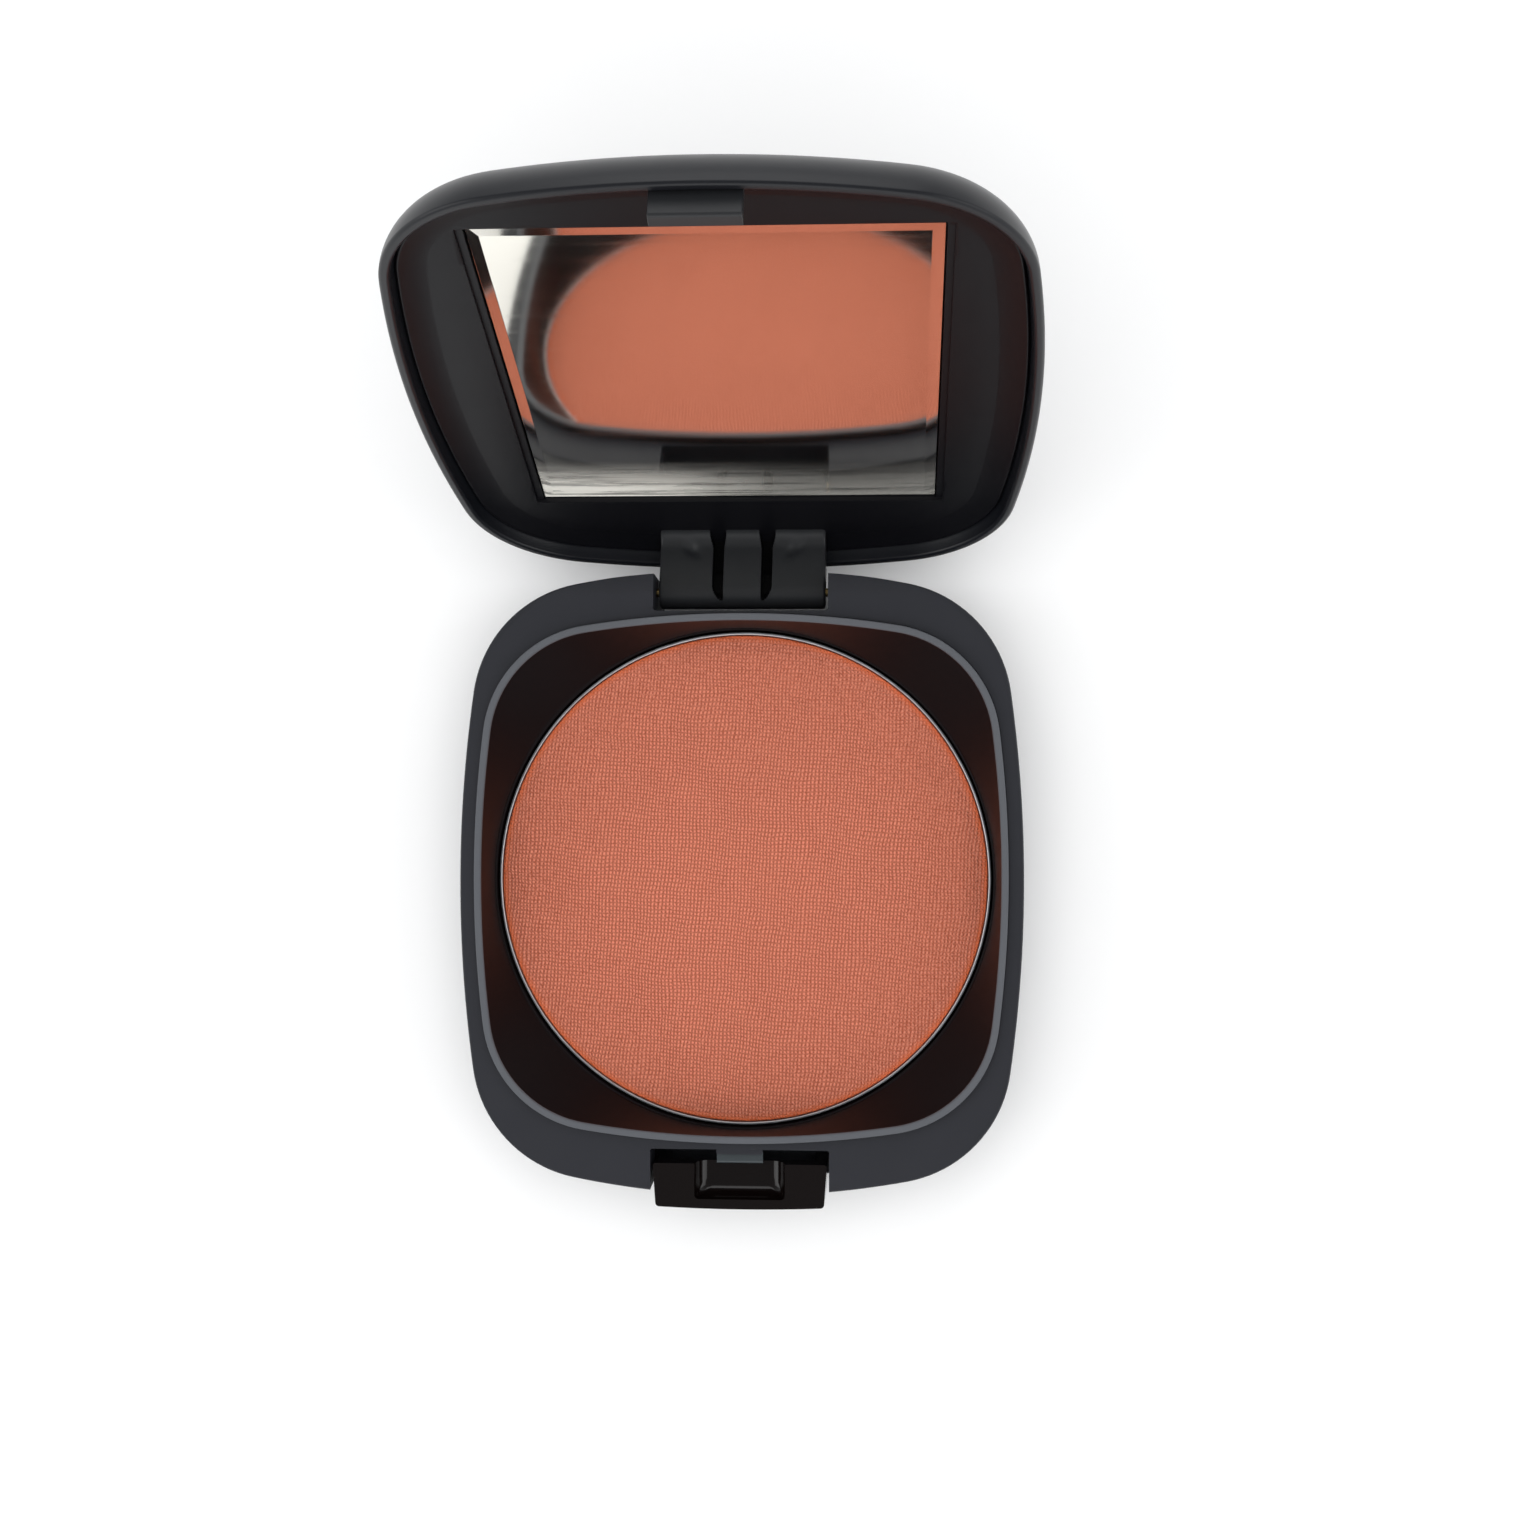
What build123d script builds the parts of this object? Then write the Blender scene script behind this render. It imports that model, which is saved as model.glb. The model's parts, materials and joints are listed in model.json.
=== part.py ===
from build123d import *
import os
from math import atan2, cos, degrees, hypot, radians, sin, sqrt
from typing import NamedTuple

# Powder compact, drawn open. All sizes are in millimetres.
# Frame: origin at the centre of the base's flat underside, +X to the right, +Y towards the hinge, +Z up.
# The lid's parts are drawn as they lie when the case is shut, on planes that are turned about the hinge.


class Outline(NamedTuple):
    """A soft rectangle: bowed sides and ends joined by round corners."""

    half_width: float
    half_depth: float
    side_radius: float
    end_radius: float
    corner_radius: float
    centre_y: float


# Cuts that run out into the open reach this much further than they need to
cut_reach = 20.0
cut_extra = 1.0

# Plan shapes
case = Outline(32.95, 36.6, 159.0, 102.0, 14.9, 0.0)
lip = Outline(31.1, 30.8, 138.0, 118.0, 14.05, 0.45)
skirt = Outline(30.65, 30.35, 137.55, 117.55, 13.6, 0.45)

# Heights above the underside
base_floor_top = 1.4
tray_floor_top = 2.0
pan_rim_z = 5.9
dish_foot_z = 6.5
tray_shoulder_z = 11.2
flange_z = 12.6
lip_top_z = 13.7
lid_rim_z = 12.7
lid_top_z = 18.8

# Base shell
base_draft = 0.9
base_edge_radius = 4.0
base_wall = 1.3
cavity_round = 1.2
seam_gap = 0.05
label_size = (32.0, 18.0)
label_centre_y = 15.0
label_corner = 3.0
label_thickness = 0.15
label_recess = 0.25
label_clearance = 0.2

# Tray insert and pan
lip_width = 0.72
lip_inner_round = 0.3
tray_foot_round = 1.5
well_radius = 29.72
dish_foot_radius = 29.9
tray_skin = 0.45
dish_foot_skin = 1.0
pan_radius = 29.5
pan_sheet = 0.35
pan_foot_round = 1.0
cake_below_rim = 0.12
cake_edge_round = 0.2
adhesive_radius = 20.0
adhesive_thickness = 0.15

# Hinge
open_angle = 112.5
hinge_y = 34.0
hinge_z = 8.3
hinge_notch_half = 10.2
hinge_notch_y = 31.6
hinge_block_wall = 0.7
hinge_cheek = 3.4
barrel_radius = 1.95
block_half = 9.8
block_back_rise = 1.3
block_neck_y = 34.6
block_neck_rise = 0.7
block_gap = 0.1
relief_clearance = 0.07
rib_half = 2.2
groove_width = 1.1
groove_depth = 0.85
groove_low_z = 9.9
groove_high_z = 14.4
pin_radius = 0.5
pin_clearance = 0.05
pin_half_length = 13.0

# Latch
latch_notch_half = 10.45
latch_notch_y = -31.2
latch_notch_floor = 4.0
latch_block_wall = 0.75
latch_cheek = 3.2
tongue_half = 2.9
tongue_reach = 0.55
tongue_depth = 0.7
nose_reach = 1.8
nose_low_z = 10.9
nose_high_z = 11.6
button_rear_half = 10.2
button_front_half = 9.85
button_rear_y = -32.95
button_side_front_y = -38.0
button_front_y = -38.25
button_low_z = 4.2
button_top_z = 12.2
button_wall = 1.2
button_edge_round = 0.35
button_travel = 0.8
scoop_half = 5.3
scoop_front_y = -35.95
scoop_floor_z = 9.9
ear_reach = 1.3
ear_height = 3.0
ear_rear_y = -33.0
ear_front_y = -34.6
ear_clearance = 0.15
spring_radius = 1.3
spring_wire = 0.2
spring_turns = 5
spring_z = 7.0

# Lid
lid_wall = 1.1
lid_skin = 1.2
lid_edge_radius = 5.7
liner_gap = 0.2
liner_edge_z = 13.95
liner_back_z = 17.45
liner_skin = 1.2
pocket_side_wall = 2.4
pocket_end_wall = 1.2
block_root_depth = 1.5
dish_radius = 9.2
dish_floor_z = 14.95
mirror_width = 45.0
mirror_height = 51.0
mirror_centre_y = -1.75
mirror_face_z = 15.24
mirror_thickness = 1.4
mirror_bevel_width = 1.25
mirror_bevel_depth = 0.35
mirror_clearance = 0.15
tape_thickness = 0.2
tape_inset = 2.0
ledge_width = 0.75
ledge_depth = 0.35
hook_half = 4.25
hook_front_y = -34.9
hook_back_y = -33.25
hook_tip_z = 10.6
hook_barb = 0.12
hook_barb_height = 0.7
hook_round = 0.3


def corner_centre(shape: Outline) -> tuple[float, float]:
    """Centre of the round corner at +X +Y, before the outline's own shift in Y."""
    side_x = shape.half_width - shape.side_radius
    end_y = shape.half_depth - shape.end_radius
    side_reach = shape.side_radius - shape.corner_radius
    end_reach = shape.end_radius - shape.corner_radius
    span = hypot(side_x, end_y)
    along = (side_reach**2 - end_reach**2 + span**2) / (2 * span)
    across = sqrt(side_reach**2 - along**2)
    unit_x = -side_x / span
    unit_y = end_y / span
    x = side_x + along * unit_x - across * unit_y
    y = along * unit_y + across * unit_x
    return x, y


def outline_joints(shape: Outline) -> tuple[float, float]:
    """Angles at which the side arc and the end arc hand over to the corner arc."""
    x, y = corner_centre(shape)
    side_x = shape.half_width - shape.side_radius
    end_y = shape.half_depth - shape.end_radius
    return degrees(atan2(y, x - side_x)), degrees(atan2(y - end_y, x))


def outline_edges(shape: Outline, inset: float = 0.0) -> ShapeList[Edge]:
    """The eight tangent arcs of an outline, drawn inset from its full size."""
    x, y = corner_centre(shape)
    side_x = shape.half_width - shape.side_radius
    end_y = shape.half_depth - shape.end_radius
    side_turn, end_turn = outline_joints(shape)
    centre = shape.centre_y
    with BuildLine(mode=Mode.PRIVATE) as loop:
        for side in (1, -1):
            middle = 0 if side == 1 else 180
            CenterArc((side * side_x, centre), shape.side_radius - inset, middle - side_turn, 2 * side_turn)
            top = 90 if side == 1 else -90
            half_end = 90 - end_turn
            end_at = (0, centre + side * end_y)
            CenterArc(end_at, shape.end_radius - inset, top - half_end, 2 * half_end)
        corner_sweep = end_turn - side_turn
        starts = (side_turn, 180 - end_turn, 180 + side_turn, 360 - end_turn)
        signs = ((1, 1), (-1, 1), (-1, -1), (1, -1))
        for start, (sign_x, sign_y) in zip(starts, signs):
            corner_at = (sign_x * x, centre + sign_y * y)
            CenterArc(corner_at, shape.corner_radius - inset, start, corner_sweep)
    return loop.edges()


def ring_edges(shape: Outline, radius: float) -> ShapeList[Edge]:
    """A circle cut into eight arcs that pair with the arcs of an outline."""
    side_turn, end_turn = outline_joints(shape)
    side_x = shape.half_width - shape.side_radius
    end_y = shape.half_depth - shape.end_radius
    side_joint_x = side_x + shape.side_radius * cos(radians(side_turn))
    side_joint_y = shape.side_radius * sin(radians(side_turn))
    end_joint_x = shape.end_radius * cos(radians(end_turn))
    end_joint_y = end_y + shape.end_radius * sin(radians(end_turn))
    low = degrees(atan2(side_joint_y, side_joint_x))
    high = degrees(atan2(end_joint_y, end_joint_x))
    marks = [low, high, 180 - high, 180 - low, 180 + low, 180 + high, 360 - high, 360 - low, 360 + low]
    with BuildLine(mode=Mode.PRIVATE) as loop:
        for start, stop in zip(marks, marks[1:]):
            CenterArc((0, 0), radius, start, stop - start)
    return loop.edges()


def level(z: float) -> Plane:
    """Horizontal plane in the base, at a height above its underside."""
    return Plane.XY.offset(z)


hinge_at = (0, hinge_y, hinge_z)
opening = Location((0, 0, 0), (-open_angle, 0, 0))
open_turn = Location(hinge_at) * opening * Location((0, -hinge_y, -hinge_z))
lid_plane = Plane(open_turn)
lid_side_plane = Plane(open_turn * Plane.YZ.location)
lid_up = Axis(lid_plane.origin, lid_plane.z_dir)


def lid_level(z: float) -> Plane:
    """The shut lid's horizontal plane at height z, as it stands with the case open."""
    return lid_plane.offset(z)


def lid_face_plane(y: float) -> Plane:
    """The shut lid's upright plane at depth y, facing the front, as it stands with the case open."""
    upright = Plane(origin=(0, y, 0), x_dir=(1, 0, 0), z_dir=(0, -1, 0))
    return Plane(open_turn * upright.location)


# ---------------------------------------------------------------- base shell
# The hollow under the flange leaves solid blocks round the hinge notch and the latch notch.
with BuildPart() as base_cavity:
    with BuildSketch(level(base_floor_top)):
        make_face(outline_edges(case, base_draft + base_wall))
    extrude(amount=tray_shoulder_z - base_floor_top)
    fillet(base_cavity.faces().sort_by(Axis.Z)[0].edges(), cavity_round)
    with BuildSketch(level(base_floor_top)):
        with Locations((0, hinge_notch_y - hinge_block_wall)):
            Rectangle(2 * (hinge_notch_half + hinge_cheek), cut_reach, align=(Align.CENTER, Align.MIN))
        with Locations((0, latch_notch_y + latch_block_wall)):
            Rectangle(2 * (latch_notch_half + latch_cheek), cut_reach, align=(Align.CENTER, Align.MAX))
    extrude(amount=tray_shoulder_z, mode=Mode.SUBTRACT)

with BuildPart() as base_shell:
    with BuildSketch(level(0)):
        make_face(outline_edges(case, base_draft))
    with BuildSketch(level(flange_z)):
        make_face(outline_edges(case))
    loft()
    fillet(base_shell.faces().sort_by(Axis.Z)[0].edges(), base_edge_radius)
    add(base_cavity.part, mode=Mode.SUBTRACT)
    # Opening that takes the tray's lip.
    with BuildSketch(level(tray_shoulder_z)):
        make_face(outline_edges(lip, -seam_gap))
    extrude(amount=lip_top_z, mode=Mode.SUBTRACT)
    # Hinge notch, open at the back, above and below.
    with BuildSketch(level(0)):
        with Locations((0, hinge_notch_y)):
            Rectangle(2 * hinge_notch_half, cut_reach, align=(Align.CENTER, Align.MIN))
    extrude(amount=flange_z, mode=Mode.SUBTRACT)
    # Rear edge rolled off about the hinge, so that the lid's rim can swing past it.
    relief_radius = lid_rim_z - hinge_z - relief_clearance
    relief_drop_y = hinge_y + relief_radius
    with BuildSketch(Plane.YZ.offset(-case.half_width)):
        with BuildLine():
            RadiusArc((relief_drop_y, hinge_z), (hinge_y, hinge_z + relief_radius), -relief_radius)
            Polyline(
                (hinge_y, hinge_z + relief_radius),
                (hinge_y, lip_top_z),
                (relief_drop_y + cut_extra, lip_top_z),
                (relief_drop_y + cut_extra, hinge_z),
                (relief_drop_y, hinge_z),
            )
        make_face()
    extrude(amount=2 * case.half_width, mode=Mode.SUBTRACT)
    # Latch notch, open at the front and above, with slots in its cheeks for the button's ears.
    with BuildSketch(level(latch_notch_floor)):
        with Locations((0, latch_notch_y)):
            Rectangle(2 * latch_notch_half, cut_reach, align=(Align.CENTER, Align.MAX))
    extrude(amount=flange_z, mode=Mode.SUBTRACT)
    slot_half = button_rear_half + ear_reach + ear_clearance
    slot_front_y = ear_front_y - ear_clearance
    slot_rear_y = ear_rear_y + button_travel + 2 * ear_clearance
    with BuildSketch(level(latch_notch_floor)):
        with Locations((0, slot_rear_y)):
            Rectangle(2 * slot_half, slot_rear_y - slot_front_y, align=(Align.CENTER, Align.MAX))
    extrude(amount=ear_height + 2 * ear_clearance, mode=Mode.SUBTRACT)
    # Tongue at flange height, and under it the nose that the lid's hook passes.
    with BuildSketch(level(flange_z - tongue_depth)):
        with Locations((0, latch_notch_y)):
            Rectangle(2 * tongue_half, tongue_reach, align=(Align.CENTER, Align.MAX))
    extrude(amount=tongue_depth)
    nose_half_height = (nose_high_z - nose_low_z) / 2
    nose_tip_y = latch_notch_y - nose_reach
    nose_straight_y = nose_tip_y + nose_half_height
    with BuildSketch(Plane.YZ.offset(-tongue_half)):
        with BuildLine():
            Polyline(
                (nose_straight_y, nose_high_z),
                (latch_notch_y, nose_high_z),
                (latch_notch_y, nose_low_z),
                (nose_straight_y, nose_low_z),
            )
            ThreePointArc(
                (nose_straight_y, nose_low_z),
                (nose_tip_y, nose_low_z + nose_half_height),
                (nose_straight_y, nose_high_z),
            )
        make_face()
    extrude(amount=2 * tongue_half)
    # Blind bores that hold the ends of the hinge pin.
    with BuildSketch(Plane.YZ.offset(-pin_half_length)):
        with Locations((hinge_y, hinge_z)):
            Circle(pin_radius)
    extrude(amount=2 * pin_half_length, mode=Mode.SUBTRACT)
    # Shallow recess for the label.
    recess_size = (label_size[0] + 2 * label_clearance, label_size[1] + 2 * label_clearance)
    with BuildSketch(level(0)):
        with Locations((0, label_centre_y)):
            RectangleRounded(*recess_size, label_corner)
    extrude(amount=label_recess, mode=Mode.SUBTRACT)
base_shell.part.label = "base_shell"

with BuildPart() as underside_label:
    with BuildSketch(level(label_recess - label_thickness)):
        with Locations((0, label_centre_y)):
            RectangleRounded(*label_size, label_corner)
    extrude(amount=label_thickness)
underside_label.part.label = "underside_label"

# ---------------------------------------------------------------- tray insert
well_outer_radius = dish_foot_radius + tray_skin
well_top_z = dish_foot_z - dish_foot_skin
with BuildPart() as tray_insert:
    with BuildSketch(level(base_floor_top)):
        Circle(well_outer_radius)
    extrude(amount=well_top_z - base_floor_top)
    fillet(tray_insert.faces().sort_by(Axis.Z)[0].edges(), tray_foot_round)
    with BuildSketch(level(well_top_z)):
        make_face(ring_edges(skirt, well_outer_radius))
    with BuildSketch(level(tray_shoulder_z)):
        make_face(outline_edges(skirt))
    loft(ruled=True)
    with BuildSketch(level(tray_shoulder_z)):
        make_face(outline_edges(lip))
    extrude(amount=lip_top_z - tray_shoulder_z)
    # The dish: soft rectangle at the lip, circle at the foot.
    with BuildSketch(level(dish_foot_z)):
        make_face(ring_edges(lip, dish_foot_radius))
    with BuildSketch(level(lip_top_z)):
        make_face(outline_edges(lip, lip_width))
    loft(ruled=True, mode=Mode.SUBTRACT)
    with BuildSketch(level(tray_floor_top)):
        Circle(well_radius)
    extrude(amount=dish_foot_z - tray_floor_top, mode=Mode.SUBTRACT)
    lip_top = tray_insert.faces().sort_by(Axis.Z)[-1]
    fillet(lip_top.inner_wires()[0].edges(), lip_inner_round)
tray_insert.part.label = "tray_insert"

pan_floor_z = tray_floor_top + adhesive_thickness
cake_floor_z = pan_floor_z + pan_sheet
with BuildPart() as powder_pan:
    with BuildSketch(level(pan_floor_z)):
        Circle(pan_radius)
    extrude(amount=pan_rim_z - pan_floor_z)
    fillet(powder_pan.faces().sort_by(Axis.Z)[0].edges(), pan_foot_round)
    with BuildSketch(level(cake_floor_z)):
        Circle(pan_radius - pan_sheet)
    extrude(amount=pan_rim_z, mode=Mode.SUBTRACT)
powder_pan.part.label = "powder_pan"

with BuildPart() as powder_cake:
    with BuildSketch(level(cake_floor_z)):
        Circle(pan_radius - pan_sheet)
    extrude(amount=pan_rim_z - cake_below_rim - cake_floor_z)
    fillet(powder_cake.faces().sort_by(Axis.Z)[-1].edges(), cake_edge_round)
powder_cake.part.label = "powder_cake"

with BuildPart() as pan_adhesive:
    with BuildSketch(level(tray_floor_top)):
        Circle(adhesive_radius)
    extrude(amount=adhesive_thickness)
pan_adhesive.part.label = "pan_adhesive"

# ---------------------------------------------------------------- hinge pin
with BuildPart() as hinge_pin:
    with BuildSketch(Plane.YZ.offset(-pin_half_length)):
        with Locations((hinge_y, hinge_z)):
            Circle(pin_radius)
    extrude(amount=2 * pin_half_length)
hinge_pin.part.label = "hinge_pin"

# ---------------------------------------------------------------- latch
with BuildPart() as latch_button:
    with BuildSketch(level(button_low_z)):
        with BuildLine():
            Polyline(
                (-button_front_half, button_side_front_y),
                (-button_rear_half, button_rear_y),
                (button_rear_half, button_rear_y),
                (button_front_half, button_side_front_y),
            )
            ThreePointArc(
                (button_front_half, button_side_front_y),
                (0, button_front_y),
                (-button_front_half, button_side_front_y),
            )
        make_face()
    extrude(amount=button_top_z - button_low_z)
    front_face = latch_button.faces().sort_by(Axis.Y)[0]
    fillet(front_face.edges(), button_edge_round)
    # Ears that slide in the slots of the base's cheeks.
    with BuildSketch(level(button_low_z)):
        with Locations((0, (ear_front_y + ear_rear_y) / 2)):
            Rectangle(2 * (button_rear_half + ear_reach), ear_rear_y - ear_front_y)
    extrude(amount=ear_height)
    # Hollow behind the push face.
    with BuildSketch(level(button_low_z)):
        with Locations((0, button_rear_y)):
            Rectangle(
                2 * (button_front_half - button_wall),
                button_rear_y - button_side_front_y - button_wall,
                align=(Align.CENTER, Align.MAX),
            )
    extrude(amount=scoop_floor_z - button_wall / 2 - button_low_z, mode=Mode.SUBTRACT)
    # Scoop in the top that the lid's hook drops into.
    with BuildSketch(level(scoop_floor_z)):
        with Locations((0, button_rear_y)):
            Rectangle(2 * scoop_half, button_rear_y - scoop_front_y, align=(Align.CENTER, Align.MAX))
    extrude(amount=button_top_z, mode=Mode.SUBTRACT)
latch_button.part.label = "latch_button"

spring_front_y = button_side_front_y + button_wall
spring_length = latch_notch_y - spring_front_y - 2 * spring_wire
with BuildPart() as latch_spring:
    with BuildLine() as coil:
        Helix(
            pitch=spring_length / spring_turns,
            height=spring_length,
            radius=spring_radius,
            center=(0, spring_front_y + spring_wire, spring_z),
            direction=(0, 1, 0),
        )
    with BuildSketch(Plane(origin=coil.line @ 0, z_dir=coil.line % 0)):
        Circle(spring_wire)
    sweep()
latch_spring.part.label = "latch_spring"

# ---------------------------------------------------------------- lid shell
lid_hollow_z = lid_top_z - lid_skin
lid_hollow_round = lid_edge_radius - lid_wall
with BuildPart() as lid_hollow:
    with BuildSketch(lid_level(lid_rim_z)):
        make_face(outline_edges(case, lid_wall))
    extrude(amount=lid_hollow_z - lid_rim_z)
    fillet(lid_hollow.faces().sort_by(lid_up)[-1].edges(), lid_hollow_round)

with BuildPart() as lid_shell:
    with BuildSketch(lid_level(lid_rim_z)):
        make_face(outline_edges(case))
    extrude(amount=lid_top_z - lid_rim_z)
    fillet(lid_shell.faces().sort_by(lid_up)[-1].edges(), lid_edge_radius)
    add(lid_hollow.part, mode=Mode.SUBTRACT)
lid_shell.part.label = "lid_shell"

# ---------------------------------------------------------------- lid liner
# Shallow dish pressed into the liner: flat in the middle, curling up to the rim all round.
liner_inset = lid_wall + liner_gap
dish_drop = dish_floor_z - liner_edge_z
dish_run = sqrt(dish_radius**2 - (dish_radius - dish_drop) ** 2)
with BuildPart() as liner_dish:
    with BuildSketch(lid_level(dish_floor_z - dish_radius - cut_extra)):
        make_face(outline_edges(case, liner_inset + dish_run - dish_radius))
    extrude(amount=dish_radius + cut_extra)
    fillet(liner_dish.faces().sort_by(lid_up)[-1].edges(), dish_radius)

# Hinge block: barrel round the pin, standing on the liner and filling the base's notch.
barrel_front_y = hinge_y - barrel_radius
barrel_back_y = hinge_y + barrel_radius
block_root_z = liner_back_z - block_root_depth
with BuildPart() as hinge_block:
    with BuildSketch(lid_side_plane.offset(-block_half)):
        with BuildLine():
            ThreePointArc(
                (barrel_front_y, hinge_z), (hinge_y, hinge_z - barrel_radius), (barrel_back_y, hinge_z)
            )
            Polyline(
                (barrel_back_y, hinge_z),
                (case.half_depth, hinge_z + block_back_rise),
                (case.half_depth, lid_rim_z - block_gap),
                (block_neck_y, lid_rim_z - block_gap),
                (block_neck_y, lid_rim_z + block_neck_rise),
                (barrel_front_y + block_neck_rise, block_root_z),
                (barrel_front_y, block_root_z),
                (barrel_front_y, hinge_z),
            )
        make_face()
    extrude(amount=2 * block_half)
    # Back of the block follows the case's outline.
    with BuildSketch(lid_level(0)):
        make_face(outline_edges(case, block_gap))
    extrude(amount=lid_top_z, mode=Mode.INTERSECT)
    # Two upright grooves in the front face, with a rib between them.
    with BuildSketch(lid_face_plane(barrel_front_y + groove_depth)):
        for side in (-1, 1):
            with Locations((side * (rib_half + groove_width / 2), (groove_low_z + groove_high_z) / 2)):
                SlotOverall(groove_high_z - groove_low_z, groove_width, rotation=90)
    extrude(amount=groove_depth + cut_extra, mode=Mode.SUBTRACT)

with BuildPart() as lid_liner:
    with BuildSketch(lid_level(lid_rim_z)):
        make_face(outline_edges(case, liner_inset))
    extrude(amount=liner_back_z - lid_rim_z)
    fillet(lid_liner.faces().sort_by(lid_up)[-1].edges(), lid_hollow_round - liner_gap)
    add(liner_dish.part, mode=Mode.SUBTRACT)
    # Pocket for the mirror and its adhesive, with a narrow ledge along each side.
    mirror_back_z = mirror_face_z + mirror_thickness
    pocket_floor_z = mirror_back_z + tape_thickness
    pocket_width = mirror_width + 2 * mirror_clearance
    pocket_height = mirror_height + 2 * mirror_clearance
    with BuildSketch(lid_level(dish_floor_z - cut_extra)):
        with Locations((0, mirror_centre_y)):
            Rectangle(pocket_width, pocket_height)
    extrude(amount=pocket_floor_z - dish_floor_z + cut_extra, mode=Mode.SUBTRACT)
    with BuildSketch(lid_level(dish_floor_z - cut_extra)):
        with Locations((0, mirror_centre_y)):
            Rectangle(pocket_width + 2 * ledge_width, mirror_height)
    extrude(amount=cut_extra + ledge_depth, mode=Mode.SUBTRACT)
    # Hollow back, with a wall left round the mirror's pocket and round the edge.
    pocket_outer = (pocket_width + 2 * pocket_side_wall, pocket_height + 2 * pocket_end_wall)
    with BuildSketch(lid_level(dish_floor_z + liner_skin)):
        make_face(outline_edges(case, liner_inset + dish_run))
        with Locations((0, mirror_centre_y)):
            Rectangle(*pocket_outer, mode=Mode.SUBTRACT)
        with Locations((0, barrel_front_y - liner_skin)):
            Rectangle(2 * block_half, cut_reach, align=(Align.CENTER, Align.MIN), mode=Mode.SUBTRACT)
    extrude(amount=liner_back_z, mode=Mode.SUBTRACT)
    add(hinge_block.part)
    # Bore for the hinge pin.
    with BuildSketch(lid_side_plane.offset(-block_half)):
        with Locations((hinge_y, hinge_z)):
            Circle(pin_radius + pin_clearance)
    extrude(amount=2 * block_half, mode=Mode.SUBTRACT)
    # Catch hook with a small barb on its inner side.
    hook_root_z = dish_floor_z
    barb_y = hook_back_y + hook_barb
    with BuildSketch(lid_side_plane.offset(-hook_half)):
        with BuildLine():
            Polyline(
                (hook_front_y, hook_root_z),
                (hook_front_y, hook_tip_z + hook_round),
                (hook_front_y + hook_round, hook_tip_z),
                (hook_back_y, hook_tip_z),
                (barb_y, hook_tip_z + hook_barb),
                (barb_y, hook_tip_z + hook_barb_height),
                (hook_back_y, hook_tip_z + hook_barb_height + hook_barb),
                (hook_back_y, hook_root_z),
                (hook_front_y, hook_root_z),
            )
        make_face()
    extrude(amount=2 * hook_half)
lid_liner.part.label = "lid_liner"

# ---------------------------------------------------------------- mirror
with BuildPart() as mirror:
    with BuildSketch(lid_level(mirror_face_z + mirror_bevel_depth)):
        with Locations((0, mirror_centre_y)):
            Rectangle(mirror_width, mirror_height)
    extrude(amount=mirror_thickness - mirror_bevel_depth)
    with BuildSketch(lid_level(mirror_face_z)):
        with Locations((0, mirror_centre_y)):
            Rectangle(mirror_width - 2 * mirror_bevel_width, mirror_height - 2 * mirror_bevel_width)
    with BuildSketch(lid_level(mirror_face_z + mirror_bevel_depth)):
        with Locations((0, mirror_centre_y)):
            Rectangle(mirror_width, mirror_height)
    loft(ruled=True)
mirror.part.label = "mirror"

with BuildPart() as mirror_adhesive:
    with BuildSketch(lid_level(mirror_back_z)):
        with Locations((0, mirror_centre_y)):
            Rectangle(mirror_width - 2 * tape_inset, mirror_height - 2 * tape_inset)
    extrude(amount=tape_thickness)
mirror_adhesive.part.label = "mirror_adhesive"

os.makedirs("parts", exist_ok=True)
for piece in (
    base_shell,
    underside_label,
    tray_insert,
    powder_pan,
    powder_cake,
    pan_adhesive,
    hinge_pin,
    latch_button,
    latch_spring,
    lid_shell,
    lid_liner,
    mirror,
    mirror_adhesive,
):
    export_step(piece.part, f"parts/{piece.part.label}.step")
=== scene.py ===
"""Looks of a powder compact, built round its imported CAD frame.

All sizes in the classes below are in millimetres, in the frame's own axes: +X to the right,
+Y towards the hinge, +Z up, origin at the centre of the base's underside. The lid's pieces are
drawn as they lie when the case is shut and are then turned open about the hinge.
"""

import json
import logging
import math
from dataclasses import dataclass
from enum import Enum
from typing import Iterable, Sequence

import bmesh
import bpy
import numpy as np
from mathutils import Matrix, Vector


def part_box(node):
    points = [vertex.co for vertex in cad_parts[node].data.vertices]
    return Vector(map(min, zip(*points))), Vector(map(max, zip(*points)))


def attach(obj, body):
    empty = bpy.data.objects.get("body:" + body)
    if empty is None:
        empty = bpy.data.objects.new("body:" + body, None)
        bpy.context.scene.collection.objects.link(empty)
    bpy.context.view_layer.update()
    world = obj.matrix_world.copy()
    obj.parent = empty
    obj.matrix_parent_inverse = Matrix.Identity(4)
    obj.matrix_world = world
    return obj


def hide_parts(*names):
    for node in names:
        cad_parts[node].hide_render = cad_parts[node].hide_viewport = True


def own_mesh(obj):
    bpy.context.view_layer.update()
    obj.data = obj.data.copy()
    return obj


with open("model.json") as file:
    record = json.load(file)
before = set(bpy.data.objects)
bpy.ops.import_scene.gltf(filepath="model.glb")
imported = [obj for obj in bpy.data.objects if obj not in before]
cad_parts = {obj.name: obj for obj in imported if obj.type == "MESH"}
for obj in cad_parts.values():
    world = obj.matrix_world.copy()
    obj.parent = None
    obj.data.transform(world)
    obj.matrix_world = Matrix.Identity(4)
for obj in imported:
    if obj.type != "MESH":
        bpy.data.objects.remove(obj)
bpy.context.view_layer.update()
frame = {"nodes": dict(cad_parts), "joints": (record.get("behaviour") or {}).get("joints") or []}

MM = 0.001
SAME_POINT = 1e-7
SMOOTH_ANGLE = math.radians(32)

log = logging.getLogger("compact")

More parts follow.
